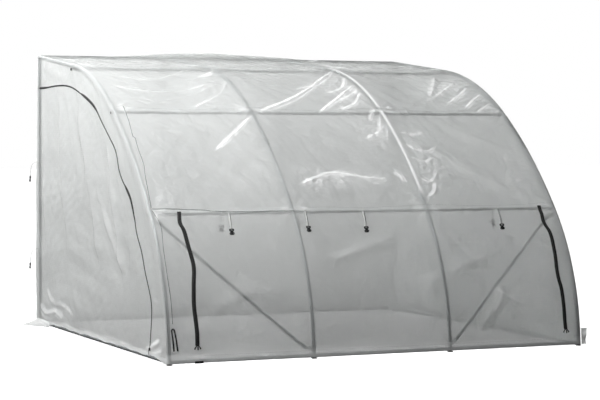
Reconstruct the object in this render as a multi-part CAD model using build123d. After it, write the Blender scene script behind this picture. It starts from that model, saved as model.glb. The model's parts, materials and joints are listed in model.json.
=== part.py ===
"""Lean-to tunnel greenhouse: bent tube hoops against an upright back, with a clear film cover, in millimetres.

X runs along the house, Y from the curved front to the upright back, Z up. The parts are drawn with the
left end hoop at X = 0 and the front feet at Y = 0, and moved at the end so that the origin is at the
middle of the footprint, on the ground.
"""
import math
import os

from build123d import *

# House
BAY = 1000
BAYS = 3

# Hoop tube: three bent lengths and one straight roof length, swaged into each other
HOOP_D = 25
HOOP_WALL = 1.2
FOOT_HEADING = 84.4
HOOP_LENGTHS = [980, 1000, 1000]
HOOP_TURNS = [32.8, 16.9, 28.7]
ROOF_LENGTH = 905

# Purlins, braces and how tubes join
PURLIN_D = 19
PURLIN_WALL = 1.0
PURLIN_OVERHANG = 20
PURLIN_JOINT_OFFSET = 62
SLIP = 0.3
NECK = 8
SPIGOT = 55
STUB = 42
CHAMFER = 3
RAIL_Z = 20

# Snap clips
CLIP_WALL = 2.5
CLIP_WIDTH = 24
CLIP_MOUTH = 6
CLIP_PAST_JOINT = 38
BRACE_CLIP_WIDTH = 16
BRACE_CLIP_BELOW_JOINT = 34
BRACE_CLIP_ABOVE_STUB = 12
EAR_LENGTH = 58
EAR_WIDTH = 24
EAR_THICK = 3
BRACE_TAB = 42
BRACE_FLARE = 45
BRACE_HOLE_D = 6.5

# Feet
FOOT_D = 40
FOOT_PLATE = 6
FOOT_BEVEL = 1
FOOT_BOSS_D = 24
FOOT_BOSS_TOP = 15

# Film cover
FILM = 1.2
GAP = 0.3
FILM_BOTTOM = 7
SEAM_PAST_JOINT = 50
ZIP_WIDTH = 28
ZIP_THICK = 1.6
ZIP_SLOT = 2
LEFT_ZIP_FROM_END = 192
RIGHT_ZIP_FROM_END = 110
FRONT_ZIP_FOOT = 72
FRONT_ZIP_HEAD = 22
DOOR_ZIP_POINTS = [(290, 62), (272, 380), (620, 860), (940, 1230), (1330, 1560), (1900, 1800)]
DOOR_ZIP_RADII = [350, 900, 900, 700, 700]
DOOR_ZIP_TOP = 1800
FLAP_REACH = 160
FLAP_LENGTH = 310
TAB_WIDTH = 42
TAB_HEIGHT = 105

# Roll-up ties and their buckles. A tie's place is its bay and how far into the bay it hangs
STRAP_WIDTH = 12
STRAP_THICK = 1.6
TIE_PLACES = [(0, 545), (1, 85), (1, 520), (2, 560)]
TIE_TOP_PAST_JOINT = 26
OUTER_TIE_ROUTE = [(0, 0), (32, 2.5), (66, 3.0), (100, 1.5), (128, 1.2)]
INNER_TIE_PLACES = [(0, 495), (1, 37), (2, 527)]
INNER_TIE_LENGTH = 88
DOOR_TIE_Z = [1243, 580]
DOOR_TIE_ROUTE = [(0, 0), (26, -3), (46, -22), (54, -50), (58, -82), (60, -112)]
BUCKLE_WIDTH = 34
BUCKLE_LENGTH = 46
BUCKLE_THICK = 7

# Small trim
HEM_CLIP_X = 166
HEM_CLIP_LENGTH = 58
HEM_CLIP_HEIGHT = 15
HEM_CLIP_THICK = 3
LOOP_X = 26
LOOP_WIDTH = 22
LOOP_TOP = 190
LOOP_LENGTH = 132
LOOP_GAP = 7

HOOP_R = HOOP_D / 2
PURLIN_R = PURLIN_D / 2
LENGTH = BAY * BAYS
HOOP_XS = [BAY * i for i in range(BAYS + 1)]
FRONT_ZIP_X = [LEFT_ZIP_FROM_END, LENGTH - RIGHT_ZIP_FROM_END]
TIE_X = [HOOP_XS[bay] + across for bay, across in TIE_PLACES]
INNER_TIE_X = [HOOP_XS[bay] + across for bay, across in INNER_TIE_PLACES]
LOW = (Align.CENTER, Align.CENTER, Align.MIN)


class Track:
    """A line in the YZ plane, made of straight runs and arcs that bend inward, measured from its start."""

    def __init__(self, y, z, heading):
        self.runs = []
        self.end = (y, z, heading)
        self.length = 0

    def add(self, length, turn=0.0):
        self.runs.append((self.length, length, turn, self.end))
        self.length += length
        self.end = self.place(self.runs[-1], length)
        return self

    @staticmethod
    def place(run, along, off=0.0):
        _, length, turn, (y, z, heading) = run
        now = math.radians(heading - turn * along / length)
        if turn:
            radius = length / math.radians(turn)
            start = math.radians(heading)
            y += radius * (math.sin(start) - math.sin(now))
            z += radius * (math.cos(now) - math.cos(start))
        else:
            y += along * math.cos(now)
            z += along * math.sin(now)
        return y - off * math.sin(now), z + off * math.cos(now), math.degrees(now)

    def at(self, s, off=0.0):
        """Y, Z and heading at s, off millimetres to the outside."""
        run = [r for r in self.runs if r[0] <= s + 1e-6][-1] if s > 0 else self.runs[0]
        return self.place(run, s - run[0], off)

    def point(self, s, off=0.0, x=0.0):
        y, z, _ = self.at(s, off)
        return Vector(x, y, z)

    def edges(self, s0, s1, off):
        """The line from s0 to s1, off millimetres to the outside, as edges at X = 0."""
        out = []
        for run in self.runs:
            a, b = max(s0, run[0]) - run[0], min(s1, run[0] + run[1]) - run[0]
            if b - a < 1e-6:
                continue
            start, middle, end = ((0, *self.place(run, t, off)[:2]) for t in (a, (a + b) / 2, b))
            out.append(ThreePointArc(start, middle, end) if run[2] else Line(start, end))
        return out


def rounded_track(points, radii):
    """A track through straight runs with an arc of the given radius at each inner point."""
    headings = [
        math.degrees(math.atan2(b[1] - a[1], b[0] - a[0])) for a, b in zip(points, points[1:])
    ]
    lengths = [math.dist(a, b) for a, b in zip(points, points[1:])]
    turns = [a - b for a, b in zip(headings, headings[1:])]
    tangents = [r * math.tan(math.radians(abs(t)) / 2) for r, t in zip(radii, turns)]
    track = Track(*points[0], headings[0])
    for i, length in enumerate(lengths):
        before = tangents[i - 1] if i else 0
        after = tangents[i] if i < len(tangents) else 0
        track.add(length - before - after)
        if i < len(turns):
            track.add(radii[i] * math.radians(abs(turns[i])), turns[i])
    return track


def plane_on(point, direction, x_dir=(1, 0, 0)):
    return Plane(origin=point, x_dir=x_dir, z_dir=direction)


def direction(heading):
    return Vector(0, math.cos(math.radians(heading)), math.sin(math.radians(heading)))


def pipe(start, end, outer, wall, x_dir=None):
    """A straight tube between two points."""
    along = Vector(*end) - Vector(*start)
    frame = Plane(origin=start, z_dir=along, x_dir=x_dir)
    return frame * (Cylinder(outer, along.length, align=LOW) - Cylinder(outer - wall, along.length, align=LOW))


def swage(start, along, outer, wall):
    """The cone that steps a tube's end down to its spigot."""
    small = outer - wall - SLIP
    frame = Plane(origin=start, z_dir=along)
    return frame * (Cone(outer, small, NECK, align=LOW) - Cone(outer - wall, small - wall, NECK, align=LOW))


def tube_along(track, s0, s1, outer, wall):
    """A tube that follows the track from s0 to s1, through its straight and bent runs."""
    stops = [s0, *(run[0] for run in track.runs if s0 + 1e-3 < run[0] < s1 - 1e-3), s1]
    return joined([bent(track, a, b, outer, wall) for a, b in zip(stops, stops[1:])])


def bent(track, s0, s1, outer, wall):
    """A tube along one run of the track, bent or straight."""
    start, heading = track.point(s0), track.at(s0)[2]
    turn = heading - track.at(s1)[2]
    ring = plane_on(start, direction(heading)) * (Circle(outer) - Circle(outer - wall))
    if abs(turn) < 1e-6:
        return extrude(ring, amount=s1 - s0)
    radius = (s1 - s0) / math.radians(turn)
    inward = math.radians(heading)
    centre = start + Vector(0, radius * math.sin(inward), -radius * math.cos(inward))
    return revolve(ring, Axis(centre, (-1, 0, 0)), turn)


def hoop_track():
    """The hoop's centre line: a straight foot, three bent lengths with a neck after each, and the roof."""
    foot = STUB + SPIGOT
    track = Track(0, RAIL_Z, FOOT_HEADING).add(foot)
    for i, (length, turn) in enumerate(zip(HOOP_LENGTHS, HOOP_TURNS)):
        track.add(length - NECK - (foot if i == 0 else 0), turn).add(NECK)
    return track.add(ROOF_LENGTH)


HOOP = hoop_track()
JOINTS = [sum(HOOP_LENGTHS[: i + 1]) for i in range(len(HOOP_LENGTHS))]
BACK_Y, EAVE_Z, ROOF_HEADING = HOOP.at(HOOP.length)


def joined(solids):
    result = solids[0]
    for solid in solids[1:]:
        result += solid
    return result


def hoop(x):
    """One hoop: each lower tube ends in a spigot that slips into the next."""
    tubes, start = [], STUB
    for joint in JOINTS:
        neck = joint - NECK
        small = HOOP_R - HOOP_WALL - SLIP
        tubes.append(
            joined(
                [
                    tube_along(HOOP, start, neck, HOOP_R, HOOP_WALL),
                    swage(HOOP.point(neck), direction(HOOP.at(neck)[2]), HOOP_R, HOOP_WALL),
                    tube_along(HOOP, joint, joint + SPIGOT, small, HOOP_WALL),
                ]
            )
        )
        start = joint
    tubes.append(tube_along(HOOP, start, HOOP.length - STUB, HOOP_R, HOOP_WALL))
    return [Pos(x, 0, 0) * tube for tube in tubes]


def straight_run(start, end, cuts, outer, wall):
    """Tubes in line from start to end, joined by swaged spigots at the given distances."""
    start, end = Vector(*start), Vector(*end)
    along = (end - start).normalized()
    stops = [0, *cuts, (end - start).length]
    tubes = []
    for i, (a, b) in enumerate(zip(stops, stops[1:])):
        if i == len(cuts):
            tubes.append(pipe(start + along * a, end, outer, wall))
            continue
        neck = start + along * (b - NECK)
        mouth = start + along * b
        spigot = pipe(mouth, mouth + along * SPIGOT, outer - wall - SLIP, wall)
        tubes.append(joined([pipe(start + along * a, neck, outer, wall), swage(neck, along, outer, wall), spigot]))
    return tubes


def connector(centre, arms):
    """A welded corner of tube stubs, each stepping down to a spigot that fits inside its tube."""
    small = HOOP_R - HOOP_WALL - SLIP
    body = Sphere(HOOP_R)
    reach = STUB + SPIGOT - CHAMFER
    for arm in arms:
        frame = Plane(origin=(0, 0, 0), z_dir=arm)
        body += frame * Cylinder(HOOP_R, STUB, align=LOW)
        body += frame * Cylinder(small, reach, align=LOW)
        body += frame.offset(reach) * Cone(small, small - CHAMFER / 2, CHAMFER, align=LOW)
    return Pos(*centre) * body


def arms_along(i):
    """The directions in which a rail leaves hoop i."""
    return [Vector(-1, 0, 0)] * (i > 0) + [Vector(1, 0, 0)] * (i < BAYS)


def rail_between_connectors(y, z):
    return [
        pipe((x + STUB, y, z), (x + BAY - STUB, y, z), HOOP_R, HOOP_WALL) for x in HOOP_XS[:-1]
    ]


def purlin_place(joint):
    """Y and Z of the purlin that the clip beyond a hoop joint holds inside the hoop."""
    offset = HOOP_R + GAP + CLIP_WALL + CLIP_WALL + GAP + PURLIN_R
    y, z, _ = HOOP.at(joint + CLIP_PAST_JOINT, -offset)
    return y, z


def purlin(joint):
    y, z = purlin_place(joint)
    cuts = [PURLIN_OVERHANG + BAY * i + PURLIN_JOINT_OFFSET for i in range(1, BAYS)]
    return straight_run(
        (-PURLIN_OVERHANG, y, z), (LENGTH + PURLIN_OVERHANG, y, z), cuts, PURLIN_R, PURLIN_WALL
    )


def purlin_clip(x, joint):
    """Two snap rings back to back: one grips the hoop from inside, the other the purlin."""
    s = joint + CLIP_PAST_JOINT
    y, z, heading = HOOP.at(s)
    # Local frame: x along the house, y along the hoop, z towards the inside
    inward = direction(heading - 90)
    frame = Plane(origin=(x, y, z), x_dir=(1, 0, 0), z_dir=inward)
    hoop_bore, purlin_bore = HOOP_R + GAP, PURLIN_R + GAP
    purlin_depth = hoop_bore + 2 * CLIP_WALL + purlin_bore
    web = CLIP_WIDTH - 2 * CLIP_WALL
    along_hoop, along_house = Rot(90, 0, 0), Rot(0, 90, 0)
    body = along_hoop * Cylinder(hoop_bore + CLIP_WALL, CLIP_WIDTH)
    body += Pos(0, 0, purlin_depth) * along_house * Cylinder(purlin_bore + CLIP_WALL, CLIP_WIDTH)
    body += Pos(0, 0, hoop_bore + CLIP_WALL) * Box(web, web, 2 * CLIP_WALL + 2)
    body -= along_hoop * Cylinder(hoop_bore, 3 * CLIP_WIDTH)
    body -= Pos(0, 0, purlin_depth) * along_house * Cylinder(purlin_bore, 3 * CLIP_WIDTH)
    mouth = 4 * CLIP_WIDTH
    body -= Pos(0, 0, -CLIP_MOUTH - mouth / 2) * Box(mouth, mouth, mouth)
    body -= Pos(0, 0, purlin_depth + CLIP_MOUTH - 1 + mouth / 2) * Box(mouth, mouth, mouth)
    return frame * body


BRACE_TOP_S = JOINTS[0] - BRACE_CLIP_BELOW_JOINT
BRACE_FOOT_S = STUB + BRACE_CLIP_ABOVE_STUB
CHORD = HOOP.point(BRACE_TOP_S) - HOOP.point(BRACE_FOOT_S)
CHORD_HEADING = math.degrees(math.atan2(CHORD.Z, CHORD.Y))
EAR_DEPTH = HOOP_R + GAP + CLIP_WALL


def brace_clip(x, s, side):
    """A snap ring on the hoop with a flat ear towards the bay, for the end of a brace."""
    y, z, heading = HOOP.at(s)
    frame = Plane(origin=(x, y, z), x_dir=(1, 0, 0), z_dir=direction(heading - 90))
    ring = Rot(90, 0, 0) * Cylinder(HOOP_R + GAP + CLIP_WALL, BRACE_CLIP_WIDTH)
    mouth = 4 * CLIP_WIDTH
    ring -= Pos(0, 0, -CLIP_MOUTH - mouth / 2) * Box(mouth, mouth, mouth)
    ear_frame = Plane(origin=(x, y, z), x_dir=(1, 0, 0), z_dir=direction(CHORD_HEADING - 90))
    ear = Pos(side * EAR_LENGTH / 2, 0, EAR_DEPTH + EAR_THICK / 2) * Box(EAR_LENGTH, EAR_WIDTH, EAR_THICK)
    root = Pos(side * HOOP_R / 2, 0, EAR_DEPTH / 2 + HOOP_R / 2) * Box(HOOP_R, EAR_WIDTH / 2, EAR_DEPTH - HOOP_R + EAR_THICK)
    body = frame * ring + ear_frame * (ear + root)
    return body - frame * (Rot(90, 0, 0) * Cylinder(HOOP_R + GAP, 3 * BRACE_CLIP_WIDTH))


def brace(top_x, foot_x):
    """A straight tube whose flared ends are pressed flat and lie on the clips' ears."""
    side = 1 if foot_x > top_x else -1
    normal = direction(CHORD_HEADING - 90)
    lift = normal * (EAR_DEPTH + EAR_THICK)
    reach = EAR_LENGTH - EAR_WIDTH / 2
    top = HOOP.point(BRACE_TOP_S, 0, top_x + side * reach) + lift
    foot = HOOP.point(BRACE_FOOT_S, 0, foot_x - side * reach) + lift
    along = (top - foot).normalized()
    across = normal.cross(along)
    tab_thick = 2 * PURLIN_WALL
    wide = PURLIN_D * 1.3
    ends = []
    for origin, way in ((foot, along), (top, along * -1)):
        flat = Plane(origin=origin, x_dir=way, z_dir=normal)
        tab = flat * (Pos(BRACE_TAB / 2 - EAR_WIDTH / 2, 0, tab_thick / 2) * Box(BRACE_TAB, wide, tab_thick))
        tab -= flat * Cylinder(BRACE_HOLE_D / 2, 4 * tab_thick)
        mouth = origin + way * (BRACE_TAB - EAR_WIDTH / 2) + normal * (tab_thick / 2)
        shoulder = mouth + way * BRACE_FLARE + normal * (PURLIN_R - tab_thick / 2)
        flat_end = Plane(origin=mouth, x_dir=across, z_dir=way) * Rectangle(wide, tab_thick)
        round_end = Plane(origin=shoulder, x_dir=across, z_dir=way) * Circle(PURLIN_R)
        ends.append((tab, loft([flat_end, round_end]), shoulder))
    middle = pipe(ends[0][2], ends[1][2], PURLIN_R, PURLIN_WALL)
    return joined([middle, *(piece for tab, flare, _ in ends for piece in (flare, tab))])


def foot_pad(x, y, arms):
    """A round rubber foot whose cradle seats the connector above it."""
    rim, seat = FOOT_D / 2, HOOP_R + GAP / 2
    pad = Cone(rim - FOOT_BEVEL, rim, FOOT_BEVEL, align=LOW)
    pad += Pos(0, 0, FOOT_BEVEL) * Cylinder(rim, FOOT_PLATE - FOOT_BEVEL, align=LOW)
    pad += Cylinder(FOOT_BOSS_D / 2, FOOT_BOSS_TOP, align=LOW)
    pad -= Pos(0, 0, RAIL_Z) * Sphere(seat)
    for arm in arms:
        if abs(arm.Z) < 0.5:
            pad -= Plane(origin=(0, 0, RAIL_Z), z_dir=arm) * Cylinder(seat, STUB, align=LOW)
    return Pos(x, y, 0) * pad


COVER = HOOP_R + GAP
END_X = PURLIN_OVERHANG + GAP


def cover_track():
    """The hoop's line, run on down to the hem and on past the back posts to the cover's rear edge."""
    down = (RAIL_Z - FILM_BOTTOM) / math.sin(math.radians(FOOT_HEADING))
    y = -down * math.cos(math.radians(FOOT_HEADING))
    track = Track(y, FILM_BOTTOM, FOOT_HEADING)
    for i, (_, length, turn, _) in enumerate(HOOP.runs):
        extra = down if i == 0 else 0
        track.add(length + extra, turn)
    track.add(COVER + FILM)
    return track, down


SKIN, SKIN_LEAD = cover_track()
SEAM_S = JOINTS[0] + SEAM_PAST_JOINT + SKIN_LEAD
ROOF_SEAM_S = JOINTS[1] + SEAM_PAST_JOINT + SKIN_LEAD


def outline(track, s0, s1, low, high):
    """The closed outline between two offsets of a track."""
    inner, outer = track.edges(s0, s1, low), track.edges(s0, s1, high)
    ends = [Line(inner[0] @ 0, outer[0] @ 0), Line(inner[-1] @ 1, outer[-1] @ 1)]
    return make_face([*inner, *outer, *ends])


def strip(track, s0, s1, x0, x1, low, high):
    """A band that follows a track from s0 to s1, x0 to x1 wide, between two offsets."""
    face = outline(track, s0, s1, low, high)
    return Pos(x0, 0, 0) * extrude(face, amount=x1 - x0, dir=(1, 0, 0))


def film_band(s0, s1, x0, x1):
    return strip(SKIN, s0, s1, x0, x1, COVER, COVER + FILM)


def end_face():
    """The outline of an end panel, up to the inside of the curved film and the back."""
    edge = SKIN.edges(0, HOOP.length + SKIN_LEAD, HOOP_R)
    last = edge[-1] @ 1
    back = BACK_Y + HOOP_R
    slope = math.tan(math.radians(ROOF_HEADING))
    corner = (0, back, last.Z + (back - last.Y) * slope)
    low_back = (0, back, FILM_BOTTOM)
    return make_face(
        [*edge, Line(last, corner), Line(corner, low_back), Line(low_back, edge[0] @ 0)]
    )


def door_track():
    return rounded_track([*DOOR_ZIP_POINTS, (BACK_Y + HOOP_R, DOOR_ZIP_TOP)], DOOR_ZIP_RADII)


DOOR = door_track()


def door_region(off):
    """Everything below and behind the door's zip, off millimetres to the outside of it."""
    edge = DOOR.edges(0, DOOR.length, off)
    first, last = edge[0] @ 0, edge[-1] @ 1
    low, far = FILM_BOTTOM - BAY / 10, BACK_Y + BAY / 10
    corners = [first, (0, first.Y, low), (0, far, low), (0, far, last.Z), last]
    return make_face([*edge, *(Line(a, b) for a, b in zip(corners, corners[1:]))])


def panel(face, x):
    """A flat film panel, with its inner face at x on the left and its outer face at x on the right."""
    return Pos(x, 0, 0) * extrude(face, amount=FILM, dir=(1, 0, 0))


def buckle(frame):
    """Half of a side release buckle: a bar loop above a waisted body. The frame's y points up the strap."""
    half, long = BUCKLE_WIDTH / 2, BUCKLE_LENGTH
    points = [
        (-half * 0.55, 0),
        (-half, -long * 0.18),
        (-half * 0.92, -long * 0.36),
        (-half * 0.5, -long * 0.5),
        (-half * 0.92, -long * 0.64),
        (-half, -long * 0.82),
        (-half * 0.6, -long),
    ]
    right = [(-x, y) for x, y in reversed(points)]
    body = extrude(make_face(Polyline(*points, *right, close=True)), amount=BUCKLE_THICK)
    slot = Pos(0, -long * 0.2, 0) * Box(STRAP_WIDTH + 2, 5, 4 * BUCKLE_THICK)
    throat = Pos(0, -long * 0.86, BUCKLE_THICK / 2) * Box(half, long * 0.3, BUCKLE_THICK / 2)
    return frame * (body - slot - throat)


def film_frame(s, x, off):
    """A frame on the cover: x along the house, y up the film, z outward."""
    y, z, heading = SKIN.at(s, off)
    return Plane(origin=(x, y, z), x_dir=(1, 0, 0), z_dir=direction(heading + 90))


def cord_track(points, first):
    """A strap's route, straight runs joined by the largest arcs that the runs allow."""
    spots = [(first[0] + a, first[1] + b) for a, b in points]
    radii = []
    for a, b, c in zip(spots, spots[1:], spots[2:]):
        turn = Vector(*b, 0) - Vector(*a, 0)
        angle = math.radians(turn.get_angle(Vector(*c, 0) - Vector(*b, 0)))
        radii.append(0.45 * min(math.dist(a, b), math.dist(b, c)) / math.tan(angle / 2))
    return rounded_track(spots, radii)


def outer_tie(x):
    """A strap that hangs from the seam down the outside of the film, and its buckle."""
    s = JOINTS[0] + TIE_TOP_PAST_JOINT + SKIN_LEAD
    start = COVER + FILM + GAP + STRAP_THICK / 2
    spots = [SKIN.at(s - down, start + off)[:2] for down, off in OUTER_TIE_ROUTE]
    track = cord_track(spots, (0, 0))
    half = STRAP_THICK / 2
    strap = strip(track, 0, track.length, x - STRAP_WIDTH / 2, x + STRAP_WIDTH / 2, -half, half)
    frame = film_frame(s - OUTER_TIE_ROUTE[-1][0] - 2 * GAP, x, COVER + FILM + GAP)
    return strap, buckle(frame)


def inner_tie(x):
    """A strap that hangs straight down inside the film, between it and the purlin, and its buckle."""
    s = JOINTS[0] + TIE_TOP_PAST_JOINT + SKIN_LEAD
    y, z, _ = SKIN.at(s, COVER)
    y += STRAP_THICK / 2 + GAP
    strap = Pos(x, y, z - INNER_TIE_LENGTH / 2) * Box(STRAP_WIDTH, STRAP_THICK, INNER_TIE_LENGTH)
    frame = Plane(
        origin=(x, y + BUCKLE_THICK / 2, z - INNER_TIE_LENGTH - GAP), x_dir=(1, 0, 0), z_dir=(0, -1, 0)
    )
    return strap, buckle(frame)


def door_tie(z):
    """A strap that stands out of the back edge of the door and bends down, and its buckle."""
    track = cord_track(DOOR_TIE_ROUTE, (0, 0))
    half = STRAP_THICK / 2
    strap = strip(track, 0, track.length, -STRAP_WIDTH / 2, STRAP_WIDTH / 2, -half, half)
    x = -END_X - FILM - GAP
    y = BACK_Y - STRAP_WIDTH / 2
    placed = Pos(x, y, z) * Rot(0, 0, 90) * strap
    end = DOOR_TIE_ROUTE[-1]
    frame = Plane(
        origin=(x - end[0] + BUCKLE_THICK / 2, y, z + end[1] - 2 * GAP), x_dir=(0, -1, 0), z_dir=(-1, 0, 0)
    )
    return placed, buckle(frame)


def corner_strap():
    """A doubled strap sewn down the front corner of the cover, its lower end a loop."""
    s1 = LOOP_TOP + SKIN_LEAD
    low = COVER + FILM + GAP
    x0, x1 = LOOP_X - LOOP_WIDTH / 2, LOOP_X + LOOP_WIDTH / 2
    s0 = s1 - LOOP_LENGTH
    inner = strip(SKIN, s0, s1, x0, x1, low, low + STRAP_THICK)
    high = low + STRAP_THICK + LOOP_GAP
    outer = strip(SKIN, s0, s1, x0, x1, high, high + STRAP_THICK)
    bottom = strip(SKIN, s0 - STRAP_THICK, s0, x0, x1, low, high + STRAP_THICK)
    top = strip(SKIN, s1 - STRAP_THICK, s1, x0, x1, low, high + STRAP_THICK)
    return joined([inner, outer, bottom, top])


def ground_flap():
    """The loose corner of film that lies on the ground outside the back left post."""
    back = BACK_Y + HOOP_R
    root = -END_X - FILM
    tongue = make_face(
        Polyline((root, back), (root - FLAP_REACH, back - 12), (root, back - FLAP_LENGTH), close=True)
    )
    plate = extrude(tongue, amount=FILM)
    lip = Box(FILM, FLAP_LENGTH, FILM_BOTTOM - GAP, align=(Align.MIN, Align.MAX, Align.MIN))
    return plate + Pos(root, back, 0) * lip


def hem_clip():
    """A plastic clip that pins the hem to the front rail below the left zip."""
    y = SKIN.at(0, COVER + FILM + GAP)[0]
    slab = Box(HEM_CLIP_LENGTH, HEM_CLIP_THICK, HEM_CLIP_HEIGHT, align=(Align.MIN, Align.MAX, Align.MIN))
    clip = Pos(HEM_CLIP_X, y, FILM_BOTTOM) * slab
    return chamfer(clip.edges().filter_by(Axis.Z).group_by(Axis.Y)[0], HEM_CLIP_THICK / 2)


def build_frame(nodes):
    roof_back = direction(ROOF_HEADING) * -1
    up, back, front = Vector(0, 0, 1), Vector(0, 1, 0), Vector(0, -1, 0)
    base, tops, feet = [], [], []
    for i, x in enumerate(HOOP_XS):
        nodes[f"hoop_{i + 1}"] = hoop(x)
        nodes[f"back_post_{i + 1}"] = straight_run(
            (x, BACK_Y, RAIL_Z + STUB),
            (x, BACK_Y, EAVE_Z - STUB),
            [(EAVE_Z - RAIL_Z) / 2 - STUB],
            HOOP_R,
            HOOP_WALL,
        )
        ends = i in (0, BAYS)
        front_arms = [direction(FOOT_HEADING), *arms_along(i), *([back] if ends else [])]
        back_arms = [up, *arms_along(i), *([front] if ends else [])]
        base.append(connector((x, 0, RAIL_Z), front_arms))
        base.append(connector((x, BACK_Y, RAIL_Z), back_arms))
        tops.append(connector((x, BACK_Y, EAVE_Z), [up * -1, roof_back, *arms_along(i)]))
        feet.append(foot_pad(x, 0, front_arms))
        feet.append(foot_pad(x, BACK_Y, back_arms))
    nodes["base_connectors"] = base
    nodes["top_connectors"] = tops
    nodes["foot_pads"] = feet
    nodes["front_base_rail"] = rail_between_connectors(0, RAIL_Z)
    nodes["back_base_rail"] = rail_between_connectors(BACK_Y, RAIL_Z)
    nodes["back_top_rail"] = rail_between_connectors(BACK_Y, EAVE_Z)
    side = BACK_Y - 2 * STUB
    for name, x in (("left_base_rail", 0), ("right_base_rail", LENGTH)):
        nodes[name] = straight_run(
            (x, STUB, RAIL_Z), (x, STUB + side, RAIL_Z), [side / 3, side * 2 / 3], HOOP_R, HOOP_WALL
        )
    for name, joint in zip(("middle_purlin", "upper_purlin", "top_purlin"), JOINTS):
        nodes[name] = purlin(joint)
    nodes["purlin_clips"] = [purlin_clip(x, joint) for x in HOOP_XS for joint in JOINTS]
    nodes["left_brace"] = [brace(0, BAY)]
    nodes["right_brace"] = [brace(LENGTH, LENGTH - BAY)]
    nodes["brace_clips"] = [
        brace_clip(0, BRACE_TOP_S, 1),
        brace_clip(BAY, BRACE_FOOT_S, -1),
        brace_clip(LENGTH, BRACE_TOP_S, -1),
        brace_clip(LENGTH - BAY, BRACE_FOOT_S, 1),
    ]


def build_cover(nodes):
    x0, x1 = -END_X - FILM, LENGTH + END_X + FILM
    zip_l, zip_r = FRONT_ZIP_X
    half = ZIP_SLOT / 2
    seam = GAP / 2
    nodes["roof_film"] = [film_band(ROOF_SEAM_S + seam, SKIN.length, x0, x1)]
    nodes["upper_front_film"] = [film_band(SEAM_S + seam, ROOF_SEAM_S - seam, x0, x1)]
    nodes["front_film_left"] = [film_band(0, SEAM_S - seam, x0, zip_l - half)]
    nodes["roll_up_panel"] = [film_band(0, SEAM_S - seam, zip_l + half, zip_r - half)]
    right = film_band(0, SEAM_S - seam, zip_r + half, x1)
    tab = film_band(0, TAB_HEIGHT, x1, x1 + TAB_WIDTH)
    nodes["front_film_right"] = [right + tab]
    nodes["left_end_film"] = [panel(end_face() - door_region(half), -END_X - FILM)]
    nodes["door_film"] = [panel(end_face() & door_region(-half), -END_X - FILM)]
    nodes["right_end_film"] = [panel(end_face(), LENGTH + END_X)]
    top = SKIN.at(HOOP.length + SKIN_LEAD, COVER)
    top_z = top[1] + (BACK_Y + COVER - top[0]) * math.tan(math.radians(ROOF_HEADING)) - GAP
    back = Box(x1 - x0, FILM, top_z - FILM_BOTTOM, align=(Align.MIN, Align.MIN, Align.MIN))
    nodes["back_film"] = [Pos(x0, BACK_Y + COVER, FILM_BOTTOM) * back]
    nodes["ground_flap"] = [ground_flap()]


def build_fastenings(nodes):
    low = COVER + FILM + GAP
    s0, s1 = FRONT_ZIP_FOOT, SEAM_S - FRONT_ZIP_HEAD
    for name, x in zip(("left_front_zip", "right_front_zip"), FRONT_ZIP_X):
        nodes[name] = [strip(SKIN, s0, s1, x - ZIP_WIDTH / 2, x + ZIP_WIDTH / 2, low, low + ZIP_THICK)]
    half = ZIP_WIDTH / 2
    outside = -END_X - FILM - GAP - ZIP_THICK
    nodes["door_zip"] = [strip(DOOR, 0, DOOR.length, outside, outside + ZIP_THICK, -half, half)]
    buckles = []
    for i, x in enumerate(TIE_X):
        strap, clasp = outer_tie(x)
        nodes[f"front_tie_{i + 1}"] = [strap]
        buckles.append(clasp)
    nodes["front_tie_buckles"] = buckles
    buckles = []
    for i, x in enumerate(INNER_TIE_X):
        strap, clasp = inner_tie(x)
        nodes[f"inner_tie_{i + 1}"] = [strap]
        buckles.append(clasp)
    nodes["inner_tie_buckles"] = buckles
    buckles = []
    for i, z in enumerate(DOOR_TIE_Z):
        strap, clasp = door_tie(z)
        nodes[f"door_tie_{i + 1}"] = [strap]
        buckles.append(clasp)
    nodes["door_tie_buckles"] = buckles
    nodes["corner_strap"] = [corner_strap()]
    nodes["hem_clip"] = [hem_clip()]


def main():
    nodes = {}
    build_frame(nodes)
    build_cover(nodes)
    build_fastenings(nodes)
    shapes = {
        name: Compound([s for part in parts for s in part.solids()]) for name, parts in nodes.items()
    }
    boxes = [shape.bounding_box() for shape in shapes.values()]
    x0, y0, z0 = (min(getattr(box.min, axis) for box in boxes) for axis in "XYZ")
    x1, y1, z1 = (max(getattr(box.max, axis) for box in boxes) for axis in "XYZ")
    to_origin = Pos(-(x0 + x1) / 2, -(y0 + y1) / 2, -z0)
    os.makedirs("parts", exist_ok=True)
    for name, shape in shapes.items():
        export_step(to_origin * shape, f"parts/{name}.step")
    print(f"size {x1 - x0:.1f} {y1 - y0:.1f} {z1 - z0:.1f}, moved by {to_origin.position}")
    print(f"back posts at {BACK_Y:.1f}, eave at {EAVE_Z:.1f}, roof heading {ROOF_HEADING:.2f}")


main()
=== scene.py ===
"""Lean-to tunnel greenhouse: finishes for its steel frame, and the modelled film cover, zips, ties and trim.

Places are in metres in the frame's own axes: X along the house, Y from the curved front to the upright
back, Z up. On the curved cover a place is given as x, from the left end hoop, and s, along the hoop's
centre line from the front rail.
"""
import math

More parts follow.
